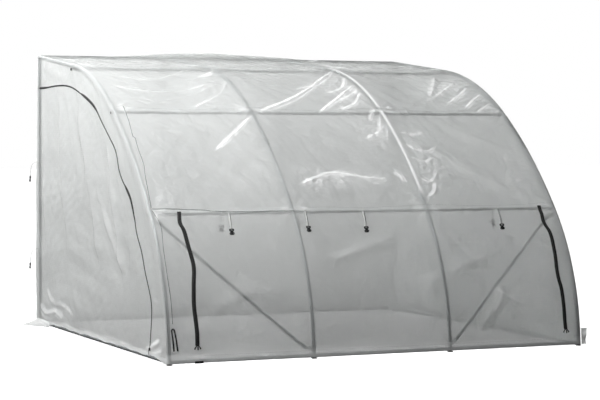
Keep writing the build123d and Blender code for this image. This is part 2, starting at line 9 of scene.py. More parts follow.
import bpy
import numpy as np
from mathutils import Matrix, Vector
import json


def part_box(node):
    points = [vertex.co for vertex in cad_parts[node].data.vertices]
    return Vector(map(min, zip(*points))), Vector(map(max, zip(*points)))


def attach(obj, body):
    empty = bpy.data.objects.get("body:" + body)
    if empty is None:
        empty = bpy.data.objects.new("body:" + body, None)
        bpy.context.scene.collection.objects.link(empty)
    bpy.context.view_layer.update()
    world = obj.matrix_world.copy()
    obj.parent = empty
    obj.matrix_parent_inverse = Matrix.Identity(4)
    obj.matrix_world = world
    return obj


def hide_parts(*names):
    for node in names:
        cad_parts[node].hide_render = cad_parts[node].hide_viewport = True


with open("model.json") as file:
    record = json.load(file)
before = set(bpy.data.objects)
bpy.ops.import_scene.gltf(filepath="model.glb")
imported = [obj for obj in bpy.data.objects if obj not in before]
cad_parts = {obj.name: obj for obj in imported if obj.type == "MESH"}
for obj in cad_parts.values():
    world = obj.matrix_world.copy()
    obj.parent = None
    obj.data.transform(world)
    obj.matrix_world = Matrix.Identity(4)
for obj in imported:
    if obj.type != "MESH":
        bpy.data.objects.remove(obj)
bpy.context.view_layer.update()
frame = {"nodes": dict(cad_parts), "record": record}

# The frame's own places
HOOPS = 4
FRONT_RAIL = sum(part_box("front_base_rail"), Vector()) / 2
HOOP_X = [(sum(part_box(f"back_post_{i + 1}"), Vector()) / 2).x for i in range(HOOPS)]
BACK_POST = sum(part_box("back_post_1"), Vector()) / 2
LEFT_X, RIGHT_X = HOOP_X[0], HOOP_X[-1]
HOUSE = RIGHT_X - LEFT_X
BAY = HOUSE / (HOOPS - 1)
FRONT_Y, RAIL_Z, BACK_Y = FRONT_RAIL.y, FRONT_RAIL.z, BACK_POST.y

# The hoop's line: a straight foot, three bent tubes with a neck after each, and the roof tube
FOOT_HEADING = math.radians(84.4)
STRAIGHT_FOOT = 0.097
TUBE_LENGTHS = [0.980, 1.000, 1.000]
TUBE_TURNS = [32.8, 16.9, 28.7]
NECK = 0.008
ROOF_TUBE = 0.905
JOINTS = [sum(TUBE_LENGTHS[: i + 1]) for i in range(len(TUBE_LENGTHS))]
CLIP_PAST_JOINT = 0.038

# Film cover: how far its skin lies from the hoops' axes, its corners, and the turn over the rear edge
SKIN = 0.0132
END_PLANE = 0.0213
CORNER_R = 0.020
REAR_CORNER_R = 0.030
REAR_TURN = math.radians(96)
REAR_PIVOT = 0.004
# Its hem below the front rail's axis, its two seams along s, and the mesh's steps
HEM_DROP = 0.012
SEAM_S = 1.030
ROOF_SEAM_S = 2.030
OVERLAP = 0.024
MESH, NARROW_MESH = 0.0086, 0.010

# Zips, ties and trim
ZIP_WIDTH = 0.028
TAPE = 0.0009
TOOTH_PITCH = 0.0045
STRAP_WIDTH = 0.012
STRAP_THICK = 0.0014
BUCKLE_WIDTH = 0.034
BUCKLE_LENGTH = 0.046
BUCKLE_THICK = 0.007


def smoothstep(t):
    t = np.clip(t, 0, 1)
    return t * t * (3 - 2 * t)


def smooth_path(points, count):
    """A smooth line through the points, sampled count times."""
    p = np.asarray(points, float)
    p = np.vstack([2 * p[0] - p[1], p, 2 * p[-1] - p[-2]])
    t = np.linspace(0, len(p) - 3, count)
    i = np.minimum(t.astype(int), len(p) - 4)
    f = (t - i)[:, None]
    a, b, c, d = p[i], p[i + 1], p[i + 2], p[i + 3]
    return 0.5 * (2 * b + (c - a) * f + (2 * a - 5 * b + 4 * c - d) * f**2 + (3 * b - a - 3 * c + d) * f**3)


class HoopLine:
    """The hoop's centre line in the YZ plane, with s measured from the front rail's axis."""

    def __init__(self):
        self.runs, self.length = [], 0.0
        self.end = (FRONT_Y, RAIL_Z, FOOT_HEADING)

    def add(self, length, turn=0.0):
        self.runs.append((self.length, length, turn, self.end))
        self.length += length
        y, z, heading = self.at(self.length, 0.0)
        self.end = (float(y), float(z), float(heading))
        return self

    def at(self, s, off=0.0):
        """Y, Z and heading at each s, off metres to the outside."""
        s = np.asarray(s, float)
        y, z, heading = (np.zeros_like(s) for _ in range(3))
        for start, length, turn, (y0, z0, h0) in self.runs:
            here = (s >= start) | (start == 0)
            along = s - start
            now = h0 - turn * along / length
            if turn:
                radius = length / turn
                y1 = y0 + radius * (np.sin(h0) - np.sin(now))
                z1 = z0 + radius * (np.cos(now) - np.cos(h0))
            else:
                y1, z1 = y0 + along * np.cos(h0), z0 + along * np.sin(h0)
            y, z, heading = np.where(here, y1, y), np.where(here, z1, z), np.where(here, now, heading)
        return y - off * np.sin(heading), z + off * np.cos(heading), heading


def hoop_line():
    line = HoopLine().add(STRAIGHT_FOOT)
    for i, (length, turn) in enumerate(zip(TUBE_LENGTHS, TUBE_TURNS)):
        bent = length - NECK - (STRAIGHT_FOOT if i == 0 else 0)
        line.add(bent, math.radians(turn)).add(NECK)
    line.add(ROOF_TUBE)
    return line.add(REAR_PIVOT * REAR_TURN, REAR_TURN)


LINE = hoop_line()
REAR_S = LINE.runs[-1][0]


# Materials

# Millimetres in a metre: a pattern's scale is this over its size
MM = 1000


def srgb(code):
    """A hex sRGB colour as linear RGBA."""
    parts = [int(code[i : i + 2], 16) / 255 for i in (0, 2, 4)]
    return (*(c / 12.92 if c <= 0.04045 else ((c + 0.055) / 1.055) ** 2.4 for c in parts), 1.0)


def add(tree, kind, links=None, out=0, stops=(), **settings):
    """Adds a node with its settings, and gives one of its outputs. Each link is an input's name or number
    and a socket or a plain value. Stops are the places and colours of a colour ramp."""
    node = tree.nodes.new("ShaderNode" + kind)
    for name, value in settings.items():
        setattr(node, name, value)
    for i, (at, code) in enumerate(stops):
        elements = node.color_ramp.elements
        element = elements[i] if i < 2 else elements.new(at)
        element.position, element.color = at, srgb(code)
    for name, value in (links or {}).items():
        if isinstance(value, bpy.types.NodeSocket):
            tree.links.new(value, node.inputs[name])
        else:
            node.inputs[name].default_value = value
    return node.outputs[out] if node.outputs else None


def new_material(name):
    made = bpy.data.materials.new(name)
    made.use_nodes = True
    made.node_tree.nodes.clear()
    return made, made.node_tree


def finished(made, shader):
    add(made.node_tree, "OutputMaterial", {"Surface": shader})
    return made


# What makes the film milky: creases and doubled film, with painted highlights carried in the same whitening,
# the net, the uneven melt and flecks, less what stays clear
CREASE_AND_SHEEN_MILK, NET_MILK, MELT_MILK, FLECK_MILK = 0.85, 0.40, 0.10, 0.24
CLEAR_SHARE = 0.19


def net_film(name, body):
    """Low density polythene film with a net of thread welded in it, blown and rolled.
    It is see-through but milky, glossy on the folds, and whiter where it is creased or doubled; the same
    whitening also holds painted highlights along folds and hoops."""
    made, tree = new_material(name)
    where = add(tree, "TexCoord", out="Object")
    weave = add(tree, "Attribute", out="Vector", attribute_name="weave")
    crease_and_sheen = add(tree, "Attribute", out="Fac", attribute_name="crease_and_sheen")
    across = add(tree, "SeparateXYZ", {"Vector": weave}).node.outputs
    # Threads lie 6 mm apart and are 0.8 mm thick; they are drawn coarser, 14 mm and 2 mm, to show
    pitch, thread = 14 / MM, 2 / MM
    masks = {}
    for number, axis in enumerate(("X", "Y")):
        wave = add(tree, "Math", {0: across[axis], 1: pitch / 2}, operation="PINGPONG")
        links = {"Value": wave, "From Min": thread / 2, "From Max": thread, "To Min": 1.0, "To Max": 0.0}
        masks[number] = add(tree, "MapRange", links)
    net = add(tree, "Math", masks, operation="MAXIMUM")
    # The melt is uneven over about half a metre, with flecks of 18 mm
    melt = add(tree, "TexNoise", {"Vector": where, "Scale": MM / 480, "Detail": 2.0})
    fleck = add(tree, "TexNoise", {"Vector": where, "Scale": MM / 18, "Detail": 1.0})
    milky = body - CLEAR_SHARE
    for source, share in ((crease_and_sheen, CREASE_AND_SHEEN_MILK), (net, NET_MILK), (melt, MELT_MILK), (fleck, FLECK_MILK)):
        milky = add(tree, "Math", {0: source, 1: share, 2: milky}, operation="MULTIPLY_ADD")
    passing = add(tree, "Math", {0: 1.0, 1: milky}, operation="SUBTRACT", use_clamp=True)
    # Whiter colour where the crease attribute is high: real creases and doubling, and painted highlights on
    # folds and along hoops
    colour = add(tree, "ValToRGB", {"Fac": crease_and_sheen}, stops=[(0.0, "F4F6F5"), (0.75, "FEFEFE")])
    # Crinkles of about 35 mm and 9 mm, and the threads stand 0.2 mm proud
    coarse = add(tree, "TexNoise", {"Vector": where, "Scale": MM / 35, "Detail": 3.0})
    fine = add(tree, "TexNoise", {"Vector": where, "Scale": MM / 9, "Detail": 2.0})
    crinkle = add(tree, "Bump", {"Height": coarse, "Distance": 5.0 / MM, "Strength": 0.55})
    crinkle = add(tree, "Bump", {"Height": fine, "Distance": 0.8 / MM, "Strength": 0.4, "Normal": crinkle})
    crinkle = add(tree, "Bump", {"Height": net, "Distance": 0.2 / MM, "Strength": 0.6, "Normal": crinkle})
    # A thin sheet hardly bends what shows through it, so its IOR is set far below polythene's 1.51
    links = {
        "Base Color": colour, "Roughness": 0.9, "IOR": 1.08, "Transmission Weight": passing, "Alpha": 0.93,
        "Normal": crinkle, "Coat Weight": 0.10, "Coat Roughness": 0.36, "Coat Normal": crinkle,
    }
    return finished(made, add(tree, "BsdfPrincipled", links))


def galvanised_steel():
    """Roll-formed tube, hot-dip galvanised: a dull grey metal with a faint spangle."""
    made, tree = new_material("galvanised_steel")
    where = add(tree, "TexCoord", out="Object")
    # Spangle of 7 mm, on clouds of 90 mm
    spangle = add(tree, "TexVoronoi", {"Vector": where, "Scale": MM / 7}, out="Color")
    flake = add(tree, "SeparateColor", {"Color": spangle}, out="Red")
    cloud = add(tree, "TexNoise", {"Vector": where, "Scale": MM / 90, "Detail": 3.0})
    cloud = add(tree, "Math", {0: cloud, 1: 0.55}, operation="MULTIPLY")
    mixed = add(tree, "Math", {0: flake, 1: 0.45, 2: cloud}, operation="MULTIPLY_ADD")
    greys = [(0.2, "505456"), (0.55, "666A6A"), (0.85, "808484")]
    colour = add(tree, "ValToRGB", {"Fac": mixed}, stops=greys)
    rough = add(tree, "MapRange", {"Value": mixed, "To Min": 0.34, "To Max": 0.52})
    grain = add(tree, "TexNoise", {"Vector": where, "Scale": MM / 3, "Detail": 2.0})
    normal = add(tree, "Bump", {"Height": grain, "Distance": 0.05 / MM, "Strength": 0.5})
    links = {"Base Color": colour, "Metallic": 0.6, "Roughness": rough, "Normal": normal}
    return finished(made, add(tree, "BsdfPrincipled", links))


def spring_steel():
    """Pressed spring steel strip, zinc plated: smoother and brighter than the tube, and worn at its edges."""
    made, tree = new_material("zinc_plated_spring_steel")
    where = add(tree, "TexCoord", out="Object")
    edge = add(tree, "NewGeometry", out="Pointiness")
    worn = add(tree, "MapRange", {"Value": edge, "From Min": 0.48, "From Max": 0.56})
    worn = add(tree, "Math", {0: worn, 1: 0.5}, operation="MULTIPLY")
    cloud = add(tree, "TexNoise", {"Vector": where, "Scale": MM / 14, "Detail": 3.0})
    tone = add(tree, "Math", {0: cloud, 1: 0.5, 2: worn}, operation="MULTIPLY_ADD")
    colour = add(tree, "ValToRGB", {"Fac": tone}, stops=[(0.1, "85898A"), (0.8, "B2B5B4")])
    grain = add(tree, "TexNoise", {"Vector": where, "Scale": MM / 2, "Detail": 3.0})
    normal = add(tree, "Bump", {"Height": grain, "Distance": 0.04 / MM, "Strength": 0.4})
    links = {"Base Color": colour, "Metallic": 0.9, "Roughness": 0.3, "Normal": normal}
    return finished(made, add(tree, "BsdfPrincipled", links))


def moulded_black(name, low, high, rough, grain_mm):
    """Injection moulded plastic or rubber: nearly black, with the mould's fine spark texture."""
    made, tree = new_material(name)
    where = add(tree, "TexCoord", out="Object")
    cloud = add(tree, "TexNoise", {"Vector": where, "Scale": MM / 25, "Detail": 3.0})
    colour = add(tree, "ValToRGB", {"Fac": cloud}, stops=[(0.3, low), (0.7, high)])
    grain = add(tree, "TexNoise", {"Vector": where, "Scale": MM / grain_mm, "Detail": 1.0})
    normal = add(tree, "Bump", {"Height": grain, "Distance": 0.08 / MM, "Strength": 0.6})
    links = {"Base Color": colour, "Roughness": rough, "IOR": 1.5, "Normal": normal}
    return finished(made, add(tree, "BsdfPrincipled", links))


def woven_tape(name, dark, light, thread_mm, rough, sheen):
    """Woven polyester tape: plain weave, matt, a little lighter on each thread's crown as a painted
    highlight, with painted shade between the threads.
    """
    made, tree = new_material(name)
    weave = add(tree, "Attribute", out="Vector", attribute_name="weave")
    across = add(tree, "SeparateXYZ", {"Vector": weave}).node.outputs
    waves = {}
    for number, (axis, shift) in enumerate((("X", 0.0), ("Y", 0.5))):
        links = {0: across[axis], 1: 2 * math.pi * MM / thread_mm, 2: shift}
        turned = add(tree, "Math", links, operation="MULTIPLY_ADD")
        waves[number] = add(tree, "Math", {0: turned}, operation="SINE")
    crossed = add(tree, "Math", waves, operation="MULTIPLY")
    crown = add(tree, "Math", {0: crossed, 1: 0.5, 2: 0.5}, operation="MULTIPLY_ADD")
    # Painted highlight on the threads' crowns and painted shade between them
    colour = add(tree, "ValToRGB", {"Fac": crown}, stops=[(0.1, dark), (0.9, light)])
    normal = add(tree, "Bump", {"Height": crown, "Distance": 0.25 / MM, "Strength": 0.8})
    links = {"Base Color": colour, "Roughness": rough, "Sheen Weight": sheen, "Normal": normal}
    return finished(made, add(tree, "BsdfPrincipled", links))


FILM = net_film("reinforced_polythene_film", 0.10)
DOUBLED_FILM = net_film("doubled_polythene_film", 0.55)
STEEL = galvanised_steel()
CLIP_STEEL = spring_steel()
RUBBER = moulded_black("moulded_rubber", "151515", "242424", 0.7, 1.2)
PLASTIC = moulded_black("moulded_acetal", "0B0B0C", "17181A", 0.38, 0.8)
# Zip tape's threads are 0.5 mm, drawn at 1 mm so that they show
ZIP_TAPE = woven_tape("woven_zip_tape", "0C0C0C", "1E1E1E", 1.0, 0.85, 0.1)
WEBBING = woven_tape("woven_webbing", "101010", "2A2A2B", 1.6, 0.8, 0.2)
STRAP = woven_tape("woven_film_strap", "8E908E", "B8BAB8", 1.6, 0.6, 0.1)
THREAD = woven_tape("sewing_thread", "5F6161", "8C8E8D", 0.8, 0.7, 0.1)


# Meshes

def placed(name, mesh, material):
    """Puts a mesh on the house as a piece of its own."""
    mesh.materials.append(material)
    obj = bpy.data.objects.new(name, mesh)
    bpy.context.scene.collection.objects.link(obj)
    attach(obj, "root")
    return obj


def piece(name, points, faces, material, weave, crease_and_sheen=None, smooth=True):
    """A piece from its points and faces, with its weave places and its whitening, from creases, doubling and
    painted highlights, as point attributes.
    """
    mesh = bpy.data.meshes.new(name)
    corners = [[int(k) for k in face] for face in faces]
    mesh.from_pydata(np.asarray(points).reshape(-1, 3).tolist(), [], corners)
    where = mesh.attributes.new("weave", "FLOAT_VECTOR", "POINT")
    where.data.foreach_set("vector", np.asarray(weave, np.float32).reshape(-1))
    if crease_and_sheen is not None:
        value = mesh.attributes.new("crease_and_sheen", "FLOAT", "POINT")
        value.data.foreach_set("value", np.asarray(crease_and_sheen, np.float32).reshape(-1))
    if smooth:
        mesh.polygons.foreach_set("use_smooth", [True] * len(mesh.polygons))
    return placed(name, mesh, material)


def grid_faces(rows, cols):
    index = np.arange(rows * cols).reshape(rows, cols)
    return np.stack([index[:-1, :-1], index[:-1, 1:], index[1:, 1:], index[1:, :-1]], -1).reshape(-1, 4)


def lengths_along(route):
    """The length along a route up to each of its points."""
    return np.concatenate([[0], np.cumsum(np.linalg.norm(np.diff(route, axis=0), axis=1))])


def directions(route):
    """The way ahead at each point of a route."""
    ahead = np.gradient(route, axis=0)
    return ahead / np.linalg.norm(ahead, axis=1)[:, None]


def sweep(name, route, side, out, section, material):
    """A closed section, as (across, outward) places, swept along a route, with flat ends."""
    route, side, out = (np.asarray(a, float) for a in (route, side, out))
    across, outward = np.array(section).T
    points = route[:, None] + side[:, None] * across[None, :, None] + out[:, None] * outward[None, :, None]
    n, m = len(route), len(section)
    ring = np.arange(m)
    faces = []
    for i in range(n - 1):
        low, high = i * m, (i + 1) * m
        faces += [[low + j, low + (j + 1) % m, high + (j + 1) % m, high + j] for j in range(m)]
    faces += [ring[::-1], (n - 1) * m + ring]
    along = lengths_along(route)
    weave = np.stack(np.broadcast_arrays(across[None, :], along[:, None], outward[None, :]), -1)
    return piece(name, points, faces, material, weave)


def blocks(name, centres, axes, sizes, material):
    """Many small blocks in one mesh, each with its own centre and three axes."""
    corners = np.array([(x, y, z) for x in (-1, 1) for y in (-1, 1) for z in (-1, 1)]) / 2
    offsets = corners * np.asarray(sizes)
    centres = np.asarray(centres, float)
    axes = [np.asarray(a, float) for a in axes]
    points = centres[:, None] + sum(axes[k][:, None] * offsets[None, :, k, None] for k in range(3))
    box = np.array([(0, 1, 3, 2), (4, 6, 7, 5), (0, 4, 5, 1), (2, 3, 7, 6), (0, 2, 6, 4), (1, 5, 7, 3)])
    faces = (np.arange(len(centres))[:, None, None] * 8 + box).reshape(-1, 4)
    obj = piece(name, points, faces, material, points, smooth=False)
    worn = obj.modifiers.new("worn_edges", "BEVEL")
    worn.width, worn.segments = min(sizes) * 0.25, 1
    return obj


# Film relief

LATTICE = 64
# Seeds: the folds' broken whitening, coarse and fine, their width, and the crumples of each panel
BREAK_SEED, FINE_BREAK_SEED, FOLD_WIDTH_SEED = 29, 31, 30
COVER_SEED, LEFT_SEED, RIGHT_SEED, BACK_SEED, FLAP_SEED = 11, 31, 47, 61, 71


def soft_noise(u, v, cell, rng):
    """Smooth noise from -1 to 1 on a random lattice of that cell size."""
    lattice = rng.uniform(-1, 1, (LATTICE, LATTICE))
    a, b = u / cell, v / cell
    i, j = np.floor(a).astype(int), np.floor(b).astype(int)
    fa, fb = smoothstep(a - i), smoothstep(b - j)
    i0, i1, j0, j1 = i % LATTICE, (i + 1) % LATTICE, j % LATTICE, (j + 1) % LATTICE
    near = lattice[i0, j0] * (1 - fa) + lattice[i1, j0] * fa
    far = lattice[i0, j1] * (1 - fa) + lattice[i1, j1] * fa
    return near * (1 - fb) + far * fb


def crumple(u, v, seed, size, height, waves=6):
    """Flat facets with sharp creases between them: folded waves whose direction wanders."""
    rng = np.random.default_rng(seed)
    total = np.zeros_like(u)
    for _ in range(waves):
        angle = rng.uniform(0, math.pi)
        length = size * rng.uniform(0.5, 1.6)
        bend = soft_noise(u, v, 3 * size, rng) * size * 0.9
        phase = (u * math.cos(angle) + v * math.sin(angle) + bend) / length + rng.uniform()
        folded = 2 * np.abs(phase - np.floor(phase + 0.5))
        patch = smoothstep(soft_noise(u, v, 2.5 * size, rng) * 1.6 + 0.25)
        total += (folded - 0.5) * patch * length / size
    return total * height


def crumples(u, v, seed, sizes):
    """Crumples of several sizes and heights together, each with the next seed."""
    return sum(crumple(u, v, seed + i, size, height) for i, (size, height) in enumerate(sizes))


def fold(u, v, spots, width, height, white):
    """One fold along the spots: its lift and how much it whitens the film, both tapering to its ends. The
    whitening is partly the folded film's own and partly a painted highlight on the crest.
    """
    route = smooth_path(spots, 14)
    best = np.full(u.shape, 1e9)
    share = np.zeros_like(u)
    lengths = np.linalg.norm(np.diff(route, axis=0), axis=1)
    before = lengths_along(route)
    for (a, b), length, start in zip(zip(route, route[1:]), lengths, before):
        way = (b - a) / length
        t = np.clip((u - a[0]) * way[0] + (v - a[1]) * way[1], 0, length)
        d = np.hypot(u - a[0] - way[0] * t, v - a[1] - way[1] * t)
        share = np.where(d < best, (start + t) / before[-1], share)
        best = np.minimum(best, d)
    taper = smoothstep(share / 0.12) * smoothstep((1 - share) / 0.25)
    coarse = soft_noise(u, v, 0.05, np.random.default_rng(BREAK_SEED))
    fine = soft_noise(u, v, 0.017, np.random.default_rng(FINE_BREAK_SEED))
    white = white * np.clip(0.75 + 0.45 * coarse + 0.3 * fine, 0.1, 1.2)
    width = width * (1 + 0.35 * soft_noise(u, v, 0.09, np.random.default_rng(FOLD_WIDTH_SEED)))
    crest = np.exp(-((best / width) ** 2))
    hollow = np.exp(-(((best - 2.4 * width) / (1.4 * width)) ** 2))
    edge = np.exp(-((best / (0.75 * width)) ** 2))
    return taper * height * (crest - 0.3 * hollow), taper * white * edge


def folded(u, v, folds):
    lift, white = np.zeros_like(u), np.zeros_like(u)
    for spots, width, height, whiteness in folds:
        more, whiter = fold(u, v, spots, width, height, whiteness)
        lift, white = lift + more, np.maximum(white, whiter)
    return lift, white


# Folds on the cover: spots as (x, s), width, height and whitening, which is partly the folded film's own and
# partly a painted highlight
COVER_FOLDS = [
    # The long tight fold from the third hoop's top clip down to the second hoop's upper clip, and on
    ([(1.90, 2.72), (1.50, 2.30), (1.26, 2.11), (1.00, 1.95)], 0.009, 0.012, 1.0),
    ([(1.00, 1.95), (0.76, 1.72), (0.58, 1.56)], 0.008, 0.004, 0.45),
    ([(1.96, 2.80), (1.72, 2.52), (1.46, 2.38)], 0.008, 0.006, 0.45),
    ([(1.97, 2.60), (1.84, 2.36), (1.66, 2.30)], 0.008, 0.005, 0.5),
    # Fans below the upper purlin and beside the third hoop
    ([(1.97, 2.42), (1.74, 2.20), (1.50, 1.98)], 0.008, 0.007, 0.6),
    ([(1.97, 2.34), (1.80, 2.20), (1.62, 2.14)], 0.007, 0.005, 0.45),
    ([(1.96, 2.28), (1.83, 2.10), (1.62, 2.02)], 0.007, 0.005, 0.4),
    ([(1.97, 2.02), (1.91, 1.96), (1.87, 1.88)], 0.007, 0.004, 0.8),
    ([(1.98, 1.97), (1.94, 1.86), (1.90, 1.76)], 0.007, 0.004, 0.8),
    ([(1.99, 1.92), (1.97, 1.80), (1.92, 1.66)], 0.006, 0.004, 0.6),
    ([(1.98, 1.86), (1.90, 1.76), (1.74, 1.68)], 0.008, 0.004, 0.35),
    # Pulls that run into the right bay from the third hoop
    ([(2.04, 1.74), (2.16, 1.74), (2.28, 1.77)], 0.007, 0.004, 0.5),
    ([(2.03, 1.62), (2.18, 1.55), (2.30, 1.60)], 0.008, 0.005, 0.5),
    ([(2.03, 1.48), (2.14, 1.44), (2.24, 1.50)], 0.009, 0.005, 0.5),
    ([(2.02, 1.30), (2.10, 1.24), (2.17, 1.30), (2.20, 1.36)], 0.010, 0.006, 0.45),
    ([(2.02, 1.10), (2.10, 1.14), (2.16, 1.26)], 0.009, 0.006, 0.5),
    ([(2.24, 1.60), (2.38, 1.44), (2.60, 1.24), (2.76, 1.08)], 0.045, 0.010, 0.14),
    ([(2.46, 1.88), (2.64, 1.70), (2.86, 1.56)], 0.040, 0.008, 0.10),
    # The roof above the right bay
    ([(2.78, 2.72), (2.64, 2.46), (2.50, 2.22)], 0.018, 0.008, 0.35),
    ([(2.86, 2.52), (2.72, 2.40), (2.54, 2.24)], 0.008, 0.005, 0.4),
    ([(2.90, 2.38), (2.78, 2.28), (2.60, 2.13)], 0.007, 0.005, 0.4),
    ([(2.95, 2.26), (2.84, 2.17), (2.70, 2.04)], 0.007, 0.005, 0.35),
    ([(2.98, 2.12), (2.88, 2.06), (2.78, 1.99)], 0.007, 0.004, 0.3),
    # Beside the left hoop's clip
    ([(-0.004, 1.17), (0.004, 1.12), (0.016, 1.05)], 0.008, 0.003, 0.8),
    ([(0.012, 1.03), (0.026, 1.00), (0.036, 0.94)], 0.008, 0.003, 0.8),
    # The upper front of the middle bay
    ([(1.10, 1.22), (1.24, 1.29), (1.41, 1.36), (1.62, 1.31), (1.83, 1.29)], 0.008, 0.006, 0.65),
    ([(1.14, 1.24), (1.21, 1.28), (1.27, 1.31)], 0.016, 0.004, 0.6),
    ([(1.86, 1.34), (1.90, 1.29), (1.91, 1.23)], 0.007, 0.004, 0.5),
    # The left bay's roof, which stands in one broad bright facet
    ([(0.02, 2.42), (0.31, 2.30), (0.70, 2.36), (0.98, 2.50)], 0.016, 0.0035, 0.06),
    ([(0.10, 2.62), (0.42, 2.58), (0.66, 2.70), (0.92, 2.92)], 0.014, 0.0035, 0.12),
    ([(0.06, 2.20), (0.36, 2.16), (0.66, 2.26), (0.95, 2.44)], 0.020, 0.003, 0.0),
    ([(0.98, 2.48), (0.84, 2.24), (0.52, 2.00)], 0.018, 0.004, 0.1),
    ([(0.98, 2.74), (0.88, 2.62), (0.78, 2.60)], 0.009, 0.006, 0.4),
    # Broad soft folds across the lower front
    ([(1.80, 0.40), (2.18, 0.57), (2.50, 0.68)], 0.050, 0.012, 0.0),
    ([(2.38, 0.40), (2.52, 0.32), (2.66, 0.26)], 0.028, 0.010, 0.12),
    ([(1.16, 0.62), (1.50, 0.73), (1.76, 0.81)], 0.040, 0.010, 0.0),
    ([(2.22, 0.12), (2.40, 0.30), (2.46, 0.44)], 0.030, 0.008, 0.08),
    ([(0.30, 0.30), (0.55, 0.42), (0.84, 0.40)], 0.045, 0.008, 0.0),
]
# Patches where the film is finely crumpled: x, s, half width and half length
CRUMPLED = [
    (2.16, 1.50, 0.20, 0.34),
    (1.88, 1.78, 0.13, 0.24),
    (1.86, 2.40, 0.22, 0.30),
    (1.46, 1.30, 0.42, 0.12),
    (2.70, 2.36, 0.28, 0.34),
    (0.10, 1.10, 0.10, 0.16),
    (2.86, 1.30, 0.16, 0.30),
]
# How far the film hangs in between the hoops, along s
SAG_S = [-0.02, 0.10, 0.30, 0.55, 0.85, 1.02, 1.50, 2.02, 2.50, 3.02, 3.50, 3.92]
SAG = [0.001, 0.010, 0.028, 0.036, 0.024, 0.020, 0.040, 0.024, 0.040, 0.022, 0.016, 0.003]
# Where the roof's rear edge stands up off the back rail: x of its middle, half width and height
REAR_PUFF = (1.36, 1.00, 0.042)
# Stretches where the film lies tight on a hoop, whitened along it as a painted highlight: hoop, s from and
# to, whitening
PAINTED_SHEEN_STRETCHES = [(2, 1.10, 3.05, 0.85), (3, 1.9, 2.95, 0.3), (3, 0.2, 1.6, 0.25)]
# How much less folds whiten the film where it lies flat on a tube, and where it does so on two hoops
CLEARED = 0.45
CLEAR_STRETCHES = [(1, 1.15, 2.60), (1, 0.80, 1.12), (2, 0.60, 1.00)]


def rear_rise(x):
    """How far the film stands up off the back's top rail."""
    middle, half, height = REAR_PUFF
    return height * smoothstep(1 - np.abs(x - middle) / half)


def clip_pulls(x, s):
    """Short pulls that fan out from every clip, where the tube holds the film."""
    reach, height, ripples = 0.17, 0.0035, 9
    pulls = np.zeros_like(x)
    for joint in JOINTS:
        for hoop in range(HOOPS):
            across, up = x - hoop * BAY, s - joint - CLIP_PAST_JOINT
            away = np.hypot(across, up) + 1e-6
            ripple = np.sin(ripples * np.arctan2(up, np.abs(across) + 1e-6) + 2.1 * hoop + joint)
            pulls += height * ripple * np.exp(-((away / reach) ** 2)) * smoothstep(away / 0.05)
    return pulls


def fine_patches(x, s):
    """How far each place lies in one of the finely crumpled patches, from 0 to 1."""
    patch = np.zeros_like(x)
    for middle_x, middle_s, half_x, half_s in CRUMPLED:
        out = np.hypot((x - middle_x) / half_x, (s - middle_s) / half_s)
        patch = np.maximum(patch, smoothstep(1.3 - out))
    return patch


def clearness(x, s):
    """How flat the film lies on the left hoop, the purlins and two more hoops, from 0 to 1."""
    clear = smoothstep((0.026 - x) / 0.014)
    for seam_s in (SEAM_S, ROOF_SEAM_S):
        clear = np.maximum(clear, smoothstep(1.6 - np.abs(s - seam_s) / 0.020))
    for hoop, low, high in CLEAR_STRETCHES:
        along = smoothstep((s - low) / 0.1) * smoothstep((high - s) / 0.1)
        clear = np.maximum(clear, along * smoothstep(1.6 - np.abs(x - hoop * BAY) / 0.016))
    return clear


def cover_relief(x, s):
    """The film's lift off its even line, and its whitening, at x and s."""
    bay = np.mod(x / BAY, 1.0)
    off_hoop = np.minimum(bay, 1 - bay) * BAY
    free = smoothstep((off_hoop - 0.008) / 0.09)
    lift = -np.interp(s, SAG_S, SAG) * np.sin(np.pi * bay) ** 1.4
    lift += rear_rise(x) * smoothstep((s - 3.0) / 0.85)
    more, white = folded(x, s, COVER_FOLDS)
    # Crumples are finest in the patches, and less rough below the seam
    rough, patch = smoothstep((s - 0.95) / 0.3), fine_patches(x, s)
    middling = 0.0014 + 0.0012 * rough + 0.0012 * patch
    fine = 0.0003 + 0.0005 * rough + 0.0016 * patch
    ruck = crumples(x, s, COVER_SEED, [(0.30, 0.0050), (0.11, middling), (0.050, fine)])
    lift += free * (more + ruck + clip_pulls(x, s)) * smoothstep((REAR_S - s) / 0.12)
    # Along the hem it lies round the outside of the front rail
    lift = lift * smoothstep((s - 0.02) / 0.09) + 0.0012 * smoothstep((0.06 - s) / 0.04)
    # Painted highlight along each hoop where the film lies tight on it
    for hoop, low, high, whiteness in PAINTED_SHEEN_STRETCHES:
        sheen_band = np.exp(-(((x - hoop * BAY) / 0.011) ** 2)) * smoothstep((s - low) / 0.1)
        white = np.maximum(white, whiteness * sheen_band * smoothstep((high - s) / 0.1))
    white = white - CLEARED * clearness(x, s)
    # The hem is doubled
    white = np.maximum(white, 0.28 * smoothstep((0.045 - s) / 0.004))
    return lift, white


def creased(lift, du, dv):
    """Whitening where the film bends sharply, from the relief's curvature: partly the film's own whitening at
    sharp bends and partly a painted highlight on them.
    """
    bend = np.zeros_like(lift)
    bend[:, 1:-1] += (lift[:, 2:] - 2 * lift[:, 1:-1] + lift[:, :-2]) / du[:, 1:-1] ** 2
    bend[1:-1, :] += (lift[2:, :] - 2 * lift[1:-1, :] + lift[:-2, :]) / dv[1:-1, :] ** 2
    return 0.55 * smoothstep((np.abs(bend) - 5) / 60)


def round_end(w, start, radius):
    """Turns a flat coordinate round a corner past start: its place along, and how far it has turned in."""
    turned = np.clip((w - start) / radius, 0, math.pi / 2)
    return np.where(w > start, start + radius * np.sin(turned), w), radius * (1 - np.cos(turned))


WRAP = CORNER_R * math.pi / 2
LEFT_EDGE = -END_PLANE + CORNER_R - WRAP
RIGHT_EDGE = HOUSE + END_PLANE - CORNER_R + WRAP


